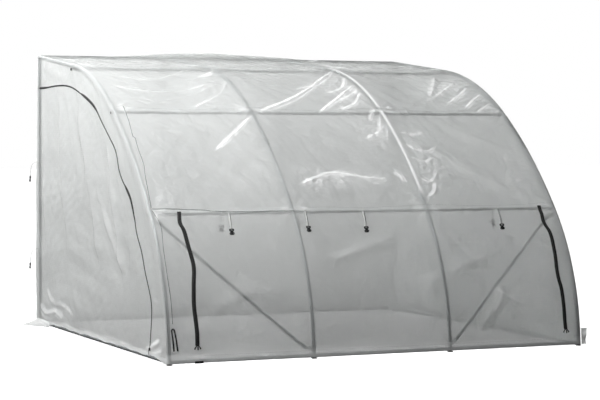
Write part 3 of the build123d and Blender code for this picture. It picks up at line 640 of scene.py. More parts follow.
def cover_place(w, s, proud=0.0):
    """Points of the cover at w across the house and s along the hoops, rounded over at both ends."""
    right, drop_right = round_end(w, HOUSE + END_PLANE - CORNER_R, CORNER_R)
    left, drop_left = round_end(-w, END_PLANE - CORNER_R, CORNER_R)
    x = np.where(w < 0, -left, right)
    lift, white = cover_relief(x, s)
    edge = 1 - smoothstep(np.maximum(drop_left, drop_right) / CORNER_R * 2)
    y, z, _ = LINE.at(s, SKIN + lift * edge - drop_left - drop_right + proud)
    return np.stack([LEFT_X + x, y, z], -1), lift, white


def cover_panel(name, node, low, high, left, right, step=MESH):
    """A panel of the curved cover between s low and high; left and right give its edges at each s."""
    rows = int((min(high, REAR_S) - low) / step)
    s = np.linspace(low, min(high, REAR_S), rows)
    if high > REAR_S:
        s = np.concatenate([s, np.linspace(REAR_S, high, 7)[1:]])
    a, b = left(s), right(s)
    span = float(np.mean(b - a))
    turn = WRAP / span
    u = np.linspace(0, 1, max(8, int(span / step)))
    if left(0.5) <= LEFT_EDGE:
        u = np.concatenate([np.linspace(0, turn, 6)[:-1], u[u >= turn]])
    if right(0.5) >= RIGHT_EDGE:
        u = np.concatenate([u[u <= 1 - turn], np.linspace(1 - turn, 1, 6)[1:]])
    w = a[:, None] + (b - a)[:, None] * u[None, :]
    up = np.broadcast_to(s[:, None], w.shape).copy()
    points, lift, white = cover_place(w, up)
    du = np.maximum(np.abs(np.gradient(w, axis=1)), 0.006)
    dv = np.maximum(np.abs(np.gradient(up, axis=0)), 0.006)
    inner = (w > 0.02) & (w < HOUSE - 0.02)
    white = np.maximum(white, creased(lift, du, dv) * inner)
    weave = np.stack([w, up, np.zeros_like(w)], -1)
    obj = piece(name, points, grid_faces(*w.shape), FILM, weave, white)
    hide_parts(node)
    return obj


# The lines of the two front zips and of the door's zip, from the house's left end hoop and front rail
LEFT_ZIP = [
    (0.188, -0.015), (0.188, 0.09), (0.188, 0.21), (0.186, 0.35), (0.198, 0.48), (0.219, 0.62),
    (0.207, 0.74), (0.195, 0.86), (0.179, 0.92), (0.194, 1.01), (0.195, 1.06),
]
RIGHT_ZIP = [
    (2.912, -0.015), (2.900, 0.06), (2.894, 0.11), (2.892, 0.22), (2.894, 0.37), (2.882, 0.47),
    (2.896, 0.64), (2.901, 0.79), (2.881, 0.87), (2.885, 0.96), (2.886, 1.06),
]
DOOR_ZIP = [
    (0.298, 0.062), (0.290, 0.124), (0.272, 0.263), (0.290, 0.397), (0.404, 0.570), (0.503, 0.719),
    (0.600, 0.833), (0.640, 0.900), (0.715, 1.033), (0.885, 1.149), (0.948, 1.213), (0.975, 1.290),
    (1.040, 1.355), (1.153, 1.435), (1.323, 1.540), (1.494, 1.640), (1.730, 1.722), (1.974, 1.780),
    (2.179, 1.806), (2.425, 1.809), (2.661, 1.801), (2.935, 1.801),
]


def zip_x(points):
    route = smooth_path(points, 160)
    return lambda s: np.interp(s, route[:, 1], route[:, 0])


def constant(value):
    return lambda s: np.full_like(np.asarray(s, float), value)


def curved_cover():
    left, right = constant(LEFT_EDGE), constant(RIGHT_EDGE)
    left_zip, right_zip = zip_x(LEFT_ZIP), zip_x(RIGHT_ZIP)
    lap, rear, hem = OVERLAP / 2, LINE.length, -HEM_DROP
    low_top = SEAM_S + lap
    cover_panel("roof_cover", "roof_film", ROOF_SEAM_S - lap, rear, left, right)
    cover_panel("upper_front_cover", "upper_front_film", SEAM_S - lap, ROOF_SEAM_S + lap, left, right)
    cover_panel("lower_front_left", "front_film_left", hem, low_top, left, left_zip, NARROW_MESH)
    cover_panel("roll_up_front", "roll_up_panel", hem, low_top, left_zip, right_zip)
    cover_panel("lower_front_right", "front_film_right", hem, low_top, right_zip, right, NARROW_MESH)


# Folds on the left end: spots as (y from the front rail, z), width, height and whitening, which is partly the
# folded film's own and partly a painted highlight
LEFT_FOLDS = [
    # Pulls from the hem up towards the door's zip, and the loose fold above the rear corner
    ([(2.84, 0.17), (2.66, 0.10), (2.42, 0.13), (2.16, 0.07)], 0.014, 0.010, 0.12),
    ([(2.86, 0.09), (2.56, 0.05), (2.26, 0.07), (1.95, 0.04)], 0.011, 0.008, 0.25),
    ([(2.70, 0.30), (2.50, 0.20), (2.20, 0.19), (1.90, 0.10)], 0.012, 0.006, 0.08),
    ([(1.30, 0.07), (0.90, 0.05), (0.60, 0.06)], 0.010, 0.006, 0.25),
    ([(0.40, 0.06), (0.24, 0.10), (0.10, 0.15)], 0.010, 0.008, 0.55),
    ([(0.26, 0.04), (0.15, 0.07), (0.05, 0.09)], 0.009, 0.007, 0.6),
    ([(0.10, 0.40), (0.18, 0.38), (0.26, 0.39)], 0.010, 0.004, 0.3),
    # Long soft pulls across the door from its upper zip to the hem
    ([(1.90, 1.70), (1.60, 1.10), (1.30, 0.40)], 0.060, 0.014, 0.0),
    ([(1.20, 1.38), (1.05, 0.90), (0.80, 0.35)], 0.045, 0.012, 0.05),
    ([(1.50, 1.10), (1.10, 0.72), (0.70, 0.45)], 0.040, 0.010, 0.12),
    ([(2.30, 1.74), (2.25, 1.10), (2.05, 0.50)], 0.070, 0.012, 0.0),
    ([(2.75, 1.72), (2.70, 1.20), (2.66, 0.50)], 0.050, 0.010, 0.05),
    # Above the door
    ([(2.80, 1.97), (2.45, 1.90), (2.10, 1.84)], 0.030, 0.004, 0.0),
]
# Folds on the right end, given in the same way
RIGHT_FOLDS = [
    ([(2.82, 1.95), (2.20, 1.30), (1.60, 0.60)], 0.060, 0.014, 0.0),
    ([(1.95, 1.88), (1.70, 1.20), (1.55, 0.50)], 0.050, 0.012, 0.0),
    ([(1.05, 1.52), (1.00, 1.00), (0.90, 0.40)], 0.040, 0.010, 0.05),
    ([(2.84, 1.10), (2.30, 1.02), (1.80, 1.08)], 0.030, 0.010, 0.1),
    ([(0.40, 0.90), (0.90, 0.70), (1.40, 0.66)], 0.030, 0.010, 0.1),
    ([(2.84, 0.16), (2.50, 0.09), (2.10, 0.12)], 0.020, 0.012, 0.3),
    ([(0.10, 0.10), (0.40, 0.06), (0.80, 0.09)], 0.016, 0.010, 0.4),
]
# The cover stands off the back posts: how far behind them it hangs, at heights up the post
STAND_OFF_Z = [0.0, 0.25, 1.00, 1.70, 1.95, 2.10]
STAND_OFF = [0.080, 0.085, 0.070, 0.045, 0.022, 0.0165]
LEAST_STAND_OFF = STAND_OFF[-1]
# The end panels' mesh: its step up the arch, its rows on the roof, and its columns
END_STEP, END_ROOF_S, END_ROOF_ROWS, END_HEM_ROWS = 0.0145, 3.0, 22, 2
END_COLS, END_CORNER_COLS = 196, 7
# The doubled hem's depth
HEM_DEPTH = 0.03
# Crumples on the upright panels: size and height
UPRIGHT_CRUMPLES = [(0.34, 0.0060), (0.13, 0.0020), (0.05, 0.00055)]


def end_hem(y, rise):
    """The height of an end panel's hem, which rides up off the rail between the corners."""
    ends = smoothstep(y / 0.25) * smoothstep((2.72 - y) / 0.30)
    return 0.008 + ends * (rise + 0.004 * np.sin(9 * y) + 0.003 * np.sin(23 * y + 1))


def end_panel(side, folds, seed, rise):
    """The grid of one end panel: side is -1 on the left and 1 on the right."""
    on_roof = np.linspace(END_ROOF_S, REAR_S, END_ROOF_ROWS)
    s = np.concatenate([np.arange(0.0, END_ROOF_S, END_STEP), on_roof])
    y_edge, z_edge, _ = LINE.at(s, SKIN - CORNER_R)
    y_edge = y_edge - FRONT_Y
    depth = BACK_Y - FRONT_Y
    # The first rows close up to the hem
    lows = np.arange(END_HEM_ROWS) / END_HEM_ROWS
    z_rows = np.concatenate([lows * z_edge[0], z_edge])
    y_rows = np.concatenate([np.full(len(lows), y_edge[0]), y_edge])
    behind = np.interp(z_rows, STAND_OFF_Z, STAND_OFF)
    far = depth + behind + REAR_CORNER_R * (math.pi / 2 - 1)
    turn = REAR_CORNER_R * math.pi / 2
    u = np.linspace(0, 1, END_COLS)
    w = y_rows[:, None] + (far - turn - y_rows)[:, None] * u[None, :]
    corner = (far - turn)[:, None] + np.linspace(0, turn, END_CORNER_COLS)[None, 1:]
    w = np.concatenate([w, corner], 1)
    z = np.broadcast_to(z_rows[:, None], w.shape).copy()
    hem = end_hem(np.clip(w, 0, depth), rise)
    z = np.maximum(z, hem + 0.0004 * np.arange(len(z_rows))[:, None] * (z < hem + HEM_DEPTH))
    along, turned_in = round_end(w, (far - turn)[:, None], REAR_CORNER_R)
    lift, white = folded(w, z, folds)
    ruck = crumples(w, z, seed, UPRIGHT_CRUMPLES)
    # Taut at the hoop, the rear post and the hem, free between
    near_hoop = smoothstep((w - y_rows[:, None]) / 0.14)
    near_rear = smoothstep((far[:, None] - w) / 0.12 + 0.15)
    free = near_hoop * near_rear * smoothstep((z - HEM_DEPTH) / 0.12 + 0.2)
    belly = -0.010 * np.sin(np.pi * np.clip(w / depth, 0, 1)) * smoothstep(z / 0.6)
    # It hangs in no further than the tubes let it
    lift = np.maximum(free * (lift + ruck + belly), -0.006 - 0.2 * np.minimum(near_hoop * 0.2, 0.05))
    du = np.maximum(np.abs(np.gradient(w, axis=1)), 0.008)
    dv = np.maximum(np.abs(np.gradient(z, axis=0)), 0.008)
    white = np.maximum(white, creased(lift, du, dv) * free)
    white = np.maximum(white, 0.30 * smoothstep((hem + HEM_DEPTH - z) / 0.004))
    plane = LEFT_X - END_PLANE if side < 0 else RIGHT_X + END_PLANE
    x = plane + side * (lift - turned_in)
    points = np.stack([x, FRONT_Y + along, z], -1)
    weave = np.stack([w, z, np.zeros_like(w)], -1)
    return points, weave, white, w


def keep_faces(points, weave, white, faces):
    """Only the points that the faces use, with the faces renumbered."""
    used = np.unique(faces)
    renumber = np.zeros(len(points), int)
    renumber[used] = np.arange(len(used))
    return points[used], weave[used], white[used], renumber[faces]


# The least share of its rectangle that a panel is taken to fill
# A slope from front to rear, of 2.0 in 2.9, listed with the left end's panel
CHORD_ANGLE = math.atan2(2.0, 2.9)
# Where the door's zip turns from its foot into its arch
ZIP_FOOT_Z = 0.263


def left_end():
    """The left end panel and the door, parted along the door's zip. Gives the points of both."""
    points, weave, white, w = end_panel(-1, LEFT_FOLDS, LEFT_SEED, 0.024)
    rows, cols = w.shape
    faces = grid_faces(rows, cols)[:, ::-1]
    points, weave, white = points.reshape(-1, 3), weave.reshape(-1, 3), white.reshape(-1)
    route = smooth_path(DOOR_ZIP, 600)
    foot = route[:, 1] < ZIP_FOOT_Z
    centre = weave[faces].mean(1)
    y, z = centre[:, 0], centre[:, 1]
    by_height = y > np.interp(z, route[foot, 1], route[foot, 0])
    rising = route[~foot]
    by_depth = z < np.interp(y, rising[:, 0], rising[:, 1], left=0.0)
    door = np.where(z < ZIP_FOOT_Z, by_height, by_depth)
    shared = np.intersect1d(np.unique(faces[door]), np.unique(faces[~door]))
    for k in shared:
        nearest = route[np.argmin(np.hypot(*(route - weave[k, :2]).T))]
        if weave[k, 1] < route[0, 1]:
            nearest = np.array([route[0, 0], weave[k, 1]])
        points[k, 1:] += nearest - weave[k, :2]
        weave[k, :2] = nearest
    panels = [("left_end_cover", "left_end_film", ~door, CHORD_ANGLE), ("door_cover", "door_film", door, 0.0)]
    for name, node, mask, angle in panels:
        kept, kept_weave, kept_white, kept_faces = keep_faces(points, weave, white, faces[mask])
        obj = piece(name, kept, kept_faces, FILM, kept_weave, kept_white)
        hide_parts(node)
    return points


def right_end():
    points, weave, white, w = end_panel(1, RIGHT_FOLDS, RIGHT_SEED, 0.004)
    obj = piece("right_end_cover", points, grid_faces(*w.shape), FILM, weave, white)
    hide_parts("right_end_film")


def back():
    """The upright back panel, between the rounded rear corners and below the roof's turned edge."""
    _, top, _ = LINE.at(LINE.length, SKIN)
    top = float(top)
    rows, cols = 130, 190
    low_x, high_x = -END_PLANE + REAR_CORNER_R, HOUSE + END_PLANE - REAR_CORNER_R
    x = np.linspace(low_x, high_x, cols)
    z = np.linspace(0.008, top, rows)
    u, v = np.meshgrid(x, z)
    bay = np.mod(u / BAY, 1.0)
    behind = np.interp(v, STAND_OFF_Z, STAND_OFF)
    ends = np.minimum(u - low_x, high_x - u)
    free = smoothstep(ends / 0.2) * smoothstep((v - 0.02) / 0.15) * smoothstep((top - v) / 0.1)
    lift = crumples(u, v, BACK_SEED, UPRIGHT_CRUMPLES[:2]) - 0.012 * np.sin(np.pi * bay) ** 2
    lift = np.maximum(free * lift, -0.016)
    # The stand-off fades towards the middle, where the film lies on the posts
    near = LEAST_STAND_OFF + (behind - LEAST_STAND_OFF) * (1 - 0.8 * smoothstep(ends / 0.8))
    # Its top follows the roof's rear edge
    raised = v + (rear_rise(u) + 0.003) * smoothstep((v - top + 0.3) / 0.3)
    points = np.stack([LEFT_X + u, BACK_Y + near + lift, raised], -1)
    weave = np.stack([u, v, np.zeros_like(u)], -1)
    step = np.full_like(u, 0.016)
    white = np.maximum(creased(lift, step, step) * free, 0.3 * smoothstep((0.045 - v) / 0.004))
    obj = piece("back_cover", points, grid_faces(rows, cols)[:, ::-1], FILM, weave, white)
    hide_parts("back_film")


def build_cover():
    curved_cover()
    end_points = left_end()
    right_end()
    back()
    return end_points


# Zips

def near_points(points, places, count=6):
    """The mean of the few points nearest to each place, measured in Y and Z alone."""
    flat = points.reshape(-1, 3)
    found = []
    for place in places:
        d = np.hypot(flat[:, 1] - place[0], flat[:, 2] - place[1])
        found.append(flat[np.argpartition(d, count)[:count]].mean(0))
    return np.array(found)


def film_point(x, s, proud=0.0):
    """Points proud of the cover, and the way out of it there."""
    x, s = np.atleast_1d(np.asarray(x, float)), np.atleast_1d(np.asarray(s, float))
    points, _, _ = cover_place(x, s, proud)
    _, _, heading = LINE.at(s)
    return points, np.stack([np.zeros_like(s), -np.sin(heading), np.cos(heading)], -1)


def even_steps(route, step):
    """The route at equal steps, and its direction there."""
    length = lengths_along(route)
    at = np.arange(step / 2, length[-1], step)
    places = np.stack([np.interp(at, length, route[:, k]) for k in range(3)], -1)
    return places, directions(places)


def flat_section(width, thick):
    return [(-width / 2, 0), (width / 2, 0), (width / 2, thick), (-width / 2, thick)]


ZIP_HALF = ZIP_WIDTH / 2
CHAIN_HALF, CHAIN_SLOPE, CHAIN_RISE = 0.0032, 0.001, 0.0012
ZIP_SECTION = [
    (-ZIP_HALF, 0), (ZIP_HALF, 0), (ZIP_HALF, TAPE), (CHAIN_HALF + CHAIN_SLOPE, TAPE),
    (CHAIN_HALF, TAPE + CHAIN_RISE), (-CHAIN_HALF, TAPE + CHAIN_RISE), (-CHAIN_HALF - CHAIN_SLOPE, TAPE),
    (-ZIP_HALF, TAPE),
]
TOOTH_SIZE = (0.0042, 0.0014, 0.0012)
TOOTH_LEAN, TOOTH_RISE = 0.0012, 0.0004


def nearest_picks(route, places):
    """For each of the places spread evenly along a route, the number of the route's point beside it."""
    return np.linspace(0, len(route) - 1, len(places)).round().astype(int)


def coil(name, node, route, side, out):
    """The zip's coil: a row of teeth that lean to one side and the other by turns."""
    places, ahead = even_steps(route, TOOTH_PITCH / 2)
    pick = nearest_picks(route, places)
    side, out = side[pick], out[pick]
    lean = np.where(np.arange(len(places)) % 2, TOOTH_LEAN, -TOOTH_LEAN)[:, None]
    centres = places + out * (TAPE + CHAIN_RISE + TOOTH_RISE) + side * lean
    teeth = blocks(name, centres, (side, ahead, out), TOOTH_SIZE, PLASTIC)
    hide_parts(node)


def plate(name, outline, holes, thick, place, x_way, y_way, material):
    """A flat moulding with softened edges, drawn by its outline and holes about the place."""
    edge = min(0.0008, thick / 4)
    data = bpy.data.curves.new(name, "CURVE")
    data.dimensions, data.fill_mode = "2D", "BOTH"
    data.extrude, data.bevel_depth, data.bevel_resolution = thick / 2 - edge, edge, 2
    data.offset = -edge
    for points in [outline, *holes]:
        spline = data.splines.new("POLY")
        spline.points.add(len(points) - 1)
        for spot, (x, y) in zip(spline.points, points):
            spot.co = (x, y, 0, 1)
        spline.use_cyclic_u = True
    drawn = bpy.data.objects.new(name, data)
    bpy.context.scene.collection.objects.link(drawn)
    mesh = bpy.data.meshes.new_from_object(drawn)
    bpy.data.objects.remove(drawn)
    x_way, y_way = Vector(x_way).normalized(), Vector(y_way).normalized()
    turn = Matrix((x_way, y_way, x_way.cross(y_way))).transposed().to_4x4()
    mesh.transform(Matrix.Translation(Vector(place)) @ turn)
    mesh.materials.clear()
    return placed(name, mesh, material)


def rounded(width, length, radius, cx=0.0, cy=0.0):
    """A rectangle with round corners, four points to a corner."""
    points = []
    for k, (sx, sy) in enumerate([(1, 1), (-1, 1), (-1, -1), (1, -1)]):
        for j in range(4):
            a = math.radians(90 * k + 30 * j)
            x = cx + sx * (width / 2 - radius) + radius * math.cos(a)
            points.append((x, cy + sy * (length / 2 - radius) + radius * math.sin(a)))
    return points


# The slider's body, from its wide nose to its waist, and the rise of its body, bridge and pull
SLIDER_BODY = [
    (-0.0065, 0.009), (0.0065, 0.009), (0.0068, 0.002), (0.0045, -0.009), (-0.0045, -0.009), (-0.0068, 0.002),
]
SLIDER_RISE, BRIDGE_RISE, PULL_RISE, PULL_HANG = 0.0042, 0.0036, 0.0050, 0.019


def slider(name, node, place, side, along, out):
    """A zip's slider and its pull, which hangs from the slider down the tape."""
    place, along, out = Vector(place), Vector(along), Vector(out)
    centre = place + out * SLIDER_RISE
    bridge = centre + out * BRIDGE_RISE
    hang = centre + out * PULL_RISE - along * PULL_HANG
    hole = rounded(0.0034, 0.008, 0.0012, cy=0.008)
    parts = [
        ("", SLIDER_BODY, [], 0.0046, centre),
        ("_bridge", rounded(0.004, 0.012, 0.0015), [], 0.0026, bridge),
        ("_pull", rounded(0.0085, 0.034, 0.0025), [hole], 0.0018, hang),
    ]
    for ending, outline, holes, thick, middle in parts:
        part = plate(name + ending, outline, holes, thick, middle, side, along, PLASTIC)
        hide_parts(node)


FRONT_ZIP_LOW, FRONT_ZIP_HIGH, FRONT_ZIP_STEP = 0.098, 1.018, 0.007
ZIP_PROUD = 0.0011
# The two tails of tape below a front zip's slider: their width, length and half gap at top and foot
TAIL_WIDTH, TAIL_LENGTH, TAIL_LAP, TAIL_STEPS = 0.009, 0.028, 0.004, 12
TAIL_TOP_GAP, TAIL_SPREAD, TAIL_LIFT = 0.004, 0.015, 0.004


def front_zip(side_name, line):
    node = f"{side_name}_front_zip"
    s = np.arange(FRONT_ZIP_LOW, FRONT_ZIP_HIGH, FRONT_ZIP_STEP)
    route, out = film_point(zip_x(line)(s), s, ZIP_PROUD)
    side = np.tile((1.0, 0.0, 0.0), (len(s), 1))
    tape = sweep(node + "_tape", route, side, out, ZIP_SECTION, ZIP_TAPE)
    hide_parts(node)
    coil(node + "_coil", node, route, side, out)
    along = route[1] - route[0]
    slider(node + "_slider", node, route[1], side[0], along / np.linalg.norm(along), out[0])
    # Below the slider the two tapes part
    t = np.linspace(0, 1, TAIL_STEPS)
    low = FRONT_ZIP_LOW + TAIL_LAP - TAIL_LENGTH * t
    section = flat_section(TAIL_WIDTH, TAPE)
    for number, way in ((1, -1), (2, 1)):
        spread = zip_x(line)(low) + way * (TAIL_TOP_GAP + TAIL_SPREAD * smoothstep(t * 1.2))
        tail, tail_out = film_point(spread, low, ZIP_PROUD)
        tail = tail + tail_out * (TAIL_LIFT * np.sin(np.pi * t))[:, None]
        name = f"{node}_end_{number}"
        end = sweep(name, tail, side[:TAIL_STEPS], tail_out, section, ZIP_TAPE)
        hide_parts(node)


# How wide the door's zip lies open to view, by Y: elsewhere its tape is folded under
DOOR_ZIP_WIDE_Y = [0.0, 0.30, 0.62, 0.68, 0.78, 0.84, 1.40, 1.50, 1.72, 1.80, 2.60, 2.72, 2.94]
DOOR_ZIP_WIDE = [0.45, 0.42, 0.45, 1.0, 1.0, 0.42, 0.40, 0.85, 0.80, 0.40, 0.40, 0.60, 0.62]


def door_zip(end_points):
    line = smooth_path(DOOR_ZIP, 260)
    places = np.stack([FRONT_Y + line[:, 0], line[:, 1]], -1)
    x = near_points(end_points, places)[:, 0]
    # The tape bridges the film's finest crumples
    x = np.convolve(np.pad(x, 4, "edge"), np.ones(9) / 9, "valid")
    route = np.stack([x - ZIP_PROUD, places[:, 0], places[:, 1]], -1)
    ahead = directions(route)
    out = np.tile((-1.0, 0.0, 0.0), (len(route), 1))
    side = np.cross(ahead, out)
    wide = np.interp(line[:, 0], DOOR_ZIP_WIDE_Y, DOOR_ZIP_WIDE)
    tape = sweep("door_zip_tape", route, side * wide[:, None], out, ZIP_SECTION, ZIP_TAPE)
    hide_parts("door_zip")
    coil("door_zip_coil", "door_zip", route, side, out)
    slider("door_zip_slider", "door_zip", route[3], side[3], ahead[3], out[3])


# Seams
# Spots of the three bound seams that start near the left hoop's middle, as (x, s)
CORNER_SEAM = [
    (0.067, 2.042), (0.060, 1.880), (0.043, 1.705), (0.054, 1.680), (0.046, 1.560), (0.048, 1.441),
    (0.030, 1.300), (0.020, 1.187), (0.013, 1.100), (0.010, 1.045),
]
HIGH_SEAM = [(0.012, 1.034), (0.288, 1.035), (0.551, 1.018), (0.800, 1.008), (1.051, 1.000), (1.090, 1.000)]
LOW_SEAM = [(0.010, 1.020), (0.043, 0.900), (0.028, 0.730), (0.025, 0.540), (0.030, 0.400), (0.028, 0.240)]


# The seams' binding and its stitches, and the stitches along the house
BINDING_THICK, BINDING_PROUD = 0.0007, 0.0006
SEAM_STITCH, SEAM_STITCH_STEP, SEAM_STITCH_PROUD = (0.0011, 0.0046, 0.0007), 0.007, 0.0011
ROW_STITCH, ROW_STITCH_STEP, ROW_STITCH_PROUD = (0.0075, 0.0009, 0.0006), 0.012, 0.0007


def seam(name, spots, width):
    """A flat binding with a row of stitches on it."""
    path = smooth_path(spots, 120)
    route, out = film_point(path[:, 0], path[:, 1], BINDING_PROUD)
    side = np.cross(directions(route), out)
    sweep(name, route, side, out, flat_section(width, BINDING_THICK), THREAD)
    places, way = even_steps(route, SEAM_STITCH_STEP)
    pick = nearest_picks(route, places)
    centres, axes = places + out[pick] * SEAM_STITCH_PROUD, (side[pick], way, out[pick])
    blocks(name + "_stitches", centres, axes, SEAM_STITCH, WEBBING)


def row_of_stitches(name, s, low, high):
    """A row of stitches along the house at s."""
    x = np.arange(low, high, ROW_STITCH_STEP)
    points, out = film_point(x, np.full_like(x, s), ROW_STITCH_PROUD)
    ahead = directions(points)
    blocks(name, points, (ahead, np.cross(out, ahead), out), ROW_STITCH, THREAD)


# Ties

# Where each strap is sewn on, and its route: down and off the film, and for the door's straps out and up
TIE_TOP_S = 1.006
FRONT_TIE_X = [0.545, 1.085, 1.520, 2.560]
FRONT_TIE_ROUTE = [(0, 0.0012), (0.032, 0.0030), (0.066, 0.0034), (0.100, 0.0022), (0.128, 0.0018)]
FRONT_TIE_LEAN = [-0.012, -0.010, -0.012, -0.009]
INNER_TIE_X = [0.495, 1.037, 2.527]
INNER_TIE_S = 1.019
INNER_TIE_ROUTE = [(0, 0), (0.030, 0.0012), (0.060, 0.0020), (0.088, 0.0008)]
DOOR_TIE_Z = [1.243, 0.580]
DOOR_TIE_ROUTE = [(0, 0), (0.026, -0.003), (0.046, -0.022), (0.054, -0.050), (0.058, -0.082), (0.060, -0.112)]


def nurbs_line(name, points):
    """Points read from a smooth spline with those control points."""
    data = bpy.data.curves.new(name, "CURVE")
    data.dimensions = "3D"
    data.resolution_u = 10
    spline = data.splines.new("NURBS")
    spline.points.add(len(points) - 1)
    for spot, place in zip(spline.points, points):
        spot.co = (*place, 1)
    spline.order_u = 3
    spline.use_endpoint_u = True
    drawn = bpy.data.objects.new(name, data)
    bpy.context.scene.collection.objects.link(drawn)
    mesh = bpy.data.meshes.new_from_object(drawn)
    line = np.array([vertex.co for vertex in mesh.vertices])
    bpy.data.objects.remove(drawn)
    bpy.data.meshes.remove(mesh)
    return line


# One side of a buckle's outline, as shares of its half width and its length
BUCKLE_SIDE = [
    (0.62, 0.0005 / BUCKLE_LENGTH), (0.96, 0.07), (1.0, 0.20), (0.90, 0.35), (0.52, 0.50), (0.88, 0.64),
    (1.0, 0.80), (0.82, 0.93), (0.50, 1.0),
]


def buckle(name, node, place, x_way, y_way):
    """Half of a side release buckle: two slots for the strap, a waist, two sprung arms and a rib."""
    half, long = BUCKLE_WIDTH / 2, BUCKLE_LENGTH
    left = [(-half * x, -long * y) for x, y in BUCKLE_SIDE]
    outline = smooth_path(left, 28).tolist()
    outline += [(-x, y) for x, y in reversed(outline)]
    holes = [rounded(STRAP_WIDTH + 0.004, 0.0042, 0.0015, cy=-long * down) for down in (0.12, 0.26)]
    holes += [rounded(0.0022, long * 0.26, 0.001, cx=way * half * 0.52, cy=-long * 0.78) for way in (-1, 1)]
    rib = rounded(half * 0.55, long * 0.34, 0.002, cy=-long * 0.66)
    parts = []
    shapes = [("", outline, holes, BUCKLE_THICK * 0.72), ("_rib", rib, [], BUCKLE_THICK)]
    for ending, shape, gaps, thick in shapes:
        part = plate(name + ending, shape, gaps, thick, place, x_way, y_way, PLASTIC)
        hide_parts(node)
        parts.append(part)
    return parts


def tie(name, points, side, clasp_node):
    """A flat strap along a route, ending in a buckle."""
    line = nurbs_line(name + "_line", points)
    ahead = directions(line)
    side = np.tile(np.asarray(side, float), (len(line), 1))
    out = np.cross(side, ahead)
    half = STRAP_THICK / 2
    section = [(a, b - half) for a, b in flat_section(STRAP_WIDTH, STRAP_THICK)]
    strap = sweep(name, line, side, out, section, STRAP)
    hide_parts(name)
    # The buckle's first slot lies over the strap's end
    place = line[-1] - ahead[-1] * 0.004
    clasp = buckle(name + "_buckle", clasp_node, place, side[-1], -ahead[-1])


def ties(end_points):
    for i, (x, lean) in enumerate(zip(FRONT_TIE_X, FRONT_TIE_LEAN)):
        down = np.array([spot[0] for spot in FRONT_TIE_ROUTE])
        off = np.array([spot[1] for spot in FRONT_TIE_ROUTE])
        points, _ = film_point(x + lean * down / down[-1], TIE_TOP_S - down, off)
        tie(f"front_tie_{i + 1}", points.tolist(), (1, 0, 0), "front_tie_buckles")
    for i, x in enumerate(INNER_TIE_X):
        (top,), _ = film_point(x, INNER_TIE_S, -0.0030)
        points = [(top[0], top[1] + back, top[2] - down) for down, back in INNER_TIE_ROUTE]
        tie(f"inner_tie_{i + 1}", points, (1, 0, 0), "inner_tie_buckles")
    y = BACK_Y - STRAP_WIDTH / 2
    for i, z in enumerate(DOOR_TIE_Z):
        x = near_points(end_points, [(y, z)])[0, 0] - 0.0008
        points = [(x - out, y, z + up) for out, up in DOOR_TIE_ROUTE]
        tie(f"door_tie_{i + 1}", points, (0, -1, 0), "door_tie_buckles")


# Corner strap, ground flap, corner tab, end caps and bolts

# The webbing loop: where it hangs, its own width, half the room between its legs, and their length
LOOP_X, LOOP_TOP_S = 0.027, 0.196
LOOP_WIDTH, LOOP_BOW, LOOP_DROP = 0.011, 0.010, 0.128
LOOP_LEAN = 0.10


def corner_strap():
    """A narrow webbing loop sewn to the cover's front corner, its two legs hanging side by side."""
    leg = np.linspace(0, 1, 40)
    bow = np.linspace(0, math.pi, 24)
    down = np.concatenate([LOOP_DROP * (1 - leg), -LOOP_BOW * np.sin(bow)[1:-1], LOOP_DROP * leg])
    left_leg, right_leg = -LOOP_BOW - 0.002 * leg[::-1], LOOP_BOW + 0.003 * leg
    across = np.concatenate([left_leg, -LOOP_BOW * np.cos(bow)[1:-1], right_leg])
    off = 0.0035 + 0.004 * np.sin(np.pi * np.clip(down / LOOP_DROP, 0, 1))
    route, film_out = film_point(LOOP_X + LOOP_LEAN * down + across, LOOP_TOP_S - down, off)
    side = np.cross(directions(route), film_out)
    section = flat_section(LOOP_WIDTH, STRAP_THICK)
    strap = sweep("corner_strap_loop", route, side, film_out, section, WEBBING)
    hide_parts("corner_strap")


# The loose corner of film on the ground: its root on the hem and its outer edge, as (x, y)
FLAP_ROOT = [(-0.022, 2.585), (-0.022, 2.700), (-0.022, 2.800), (-0.022, 2.900)]
FLAP_EDGE = [(-0.030, 2.570), (-0.085, 2.680), (-0.135, 2.800), (-0.176, 2.905)]


FLAP_CRUMPLE, FLAP_FINE_CRUMPLE = (0.07, 0.006), (0.03, 0.003)
FLAP_LIES, FLAP_ROOT_RISE = 0.0015, 0.046


def ground_flap():
    """The loose corner, which hangs from the hem at its root and lies crumpled on the ground."""
    across, along = 26, 44
    root, edge = smooth_path(FLAP_ROOT, along), smooth_path(FLAP_EDGE, along)
    v = np.linspace(0, 1, across)[:, None, None]
    flat = root[None] * (1 - v) + edge[None] * v
    x, y = flat[..., 0], flat[..., 1]
    t = np.broadcast_to(v[..., 0], x.shape)
    ruck = np.abs(crumple(x, y, FLAP_SEED, *FLAP_CRUMPLE))
    ruck += 0.5 * np.abs(crumple(x, y, FLAP_SEED + 1, *FLAP_FINE_CRUMPLE))
    z = FLAP_LIES + FLAP_ROOT_RISE * (1 - t) ** 2 + ruck * smoothstep(1.6 * t) * (1 - 0.6 * t)
    points = np.stack([LEFT_X + x, FRONT_Y + y, z], -1)
    # Whiter where the crumples stand highest: partly the crumpled film's own whitening and partly a painted
    # highlight on the crests
    white = np.clip(0.10 + 14 * (ruck - ruck.mean()), 0, 0.6)
    weave = np.stack([x, y, np.zeros_like(x)], -1)
    obj = piece("loose_ground_flap", points, grid_faces(across, along), FILM, weave, white)
    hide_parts("ground_flap")


TAB_WIDTH, TAB_LOW, TAB_HIGH = 0.042, -0.010, 0.100


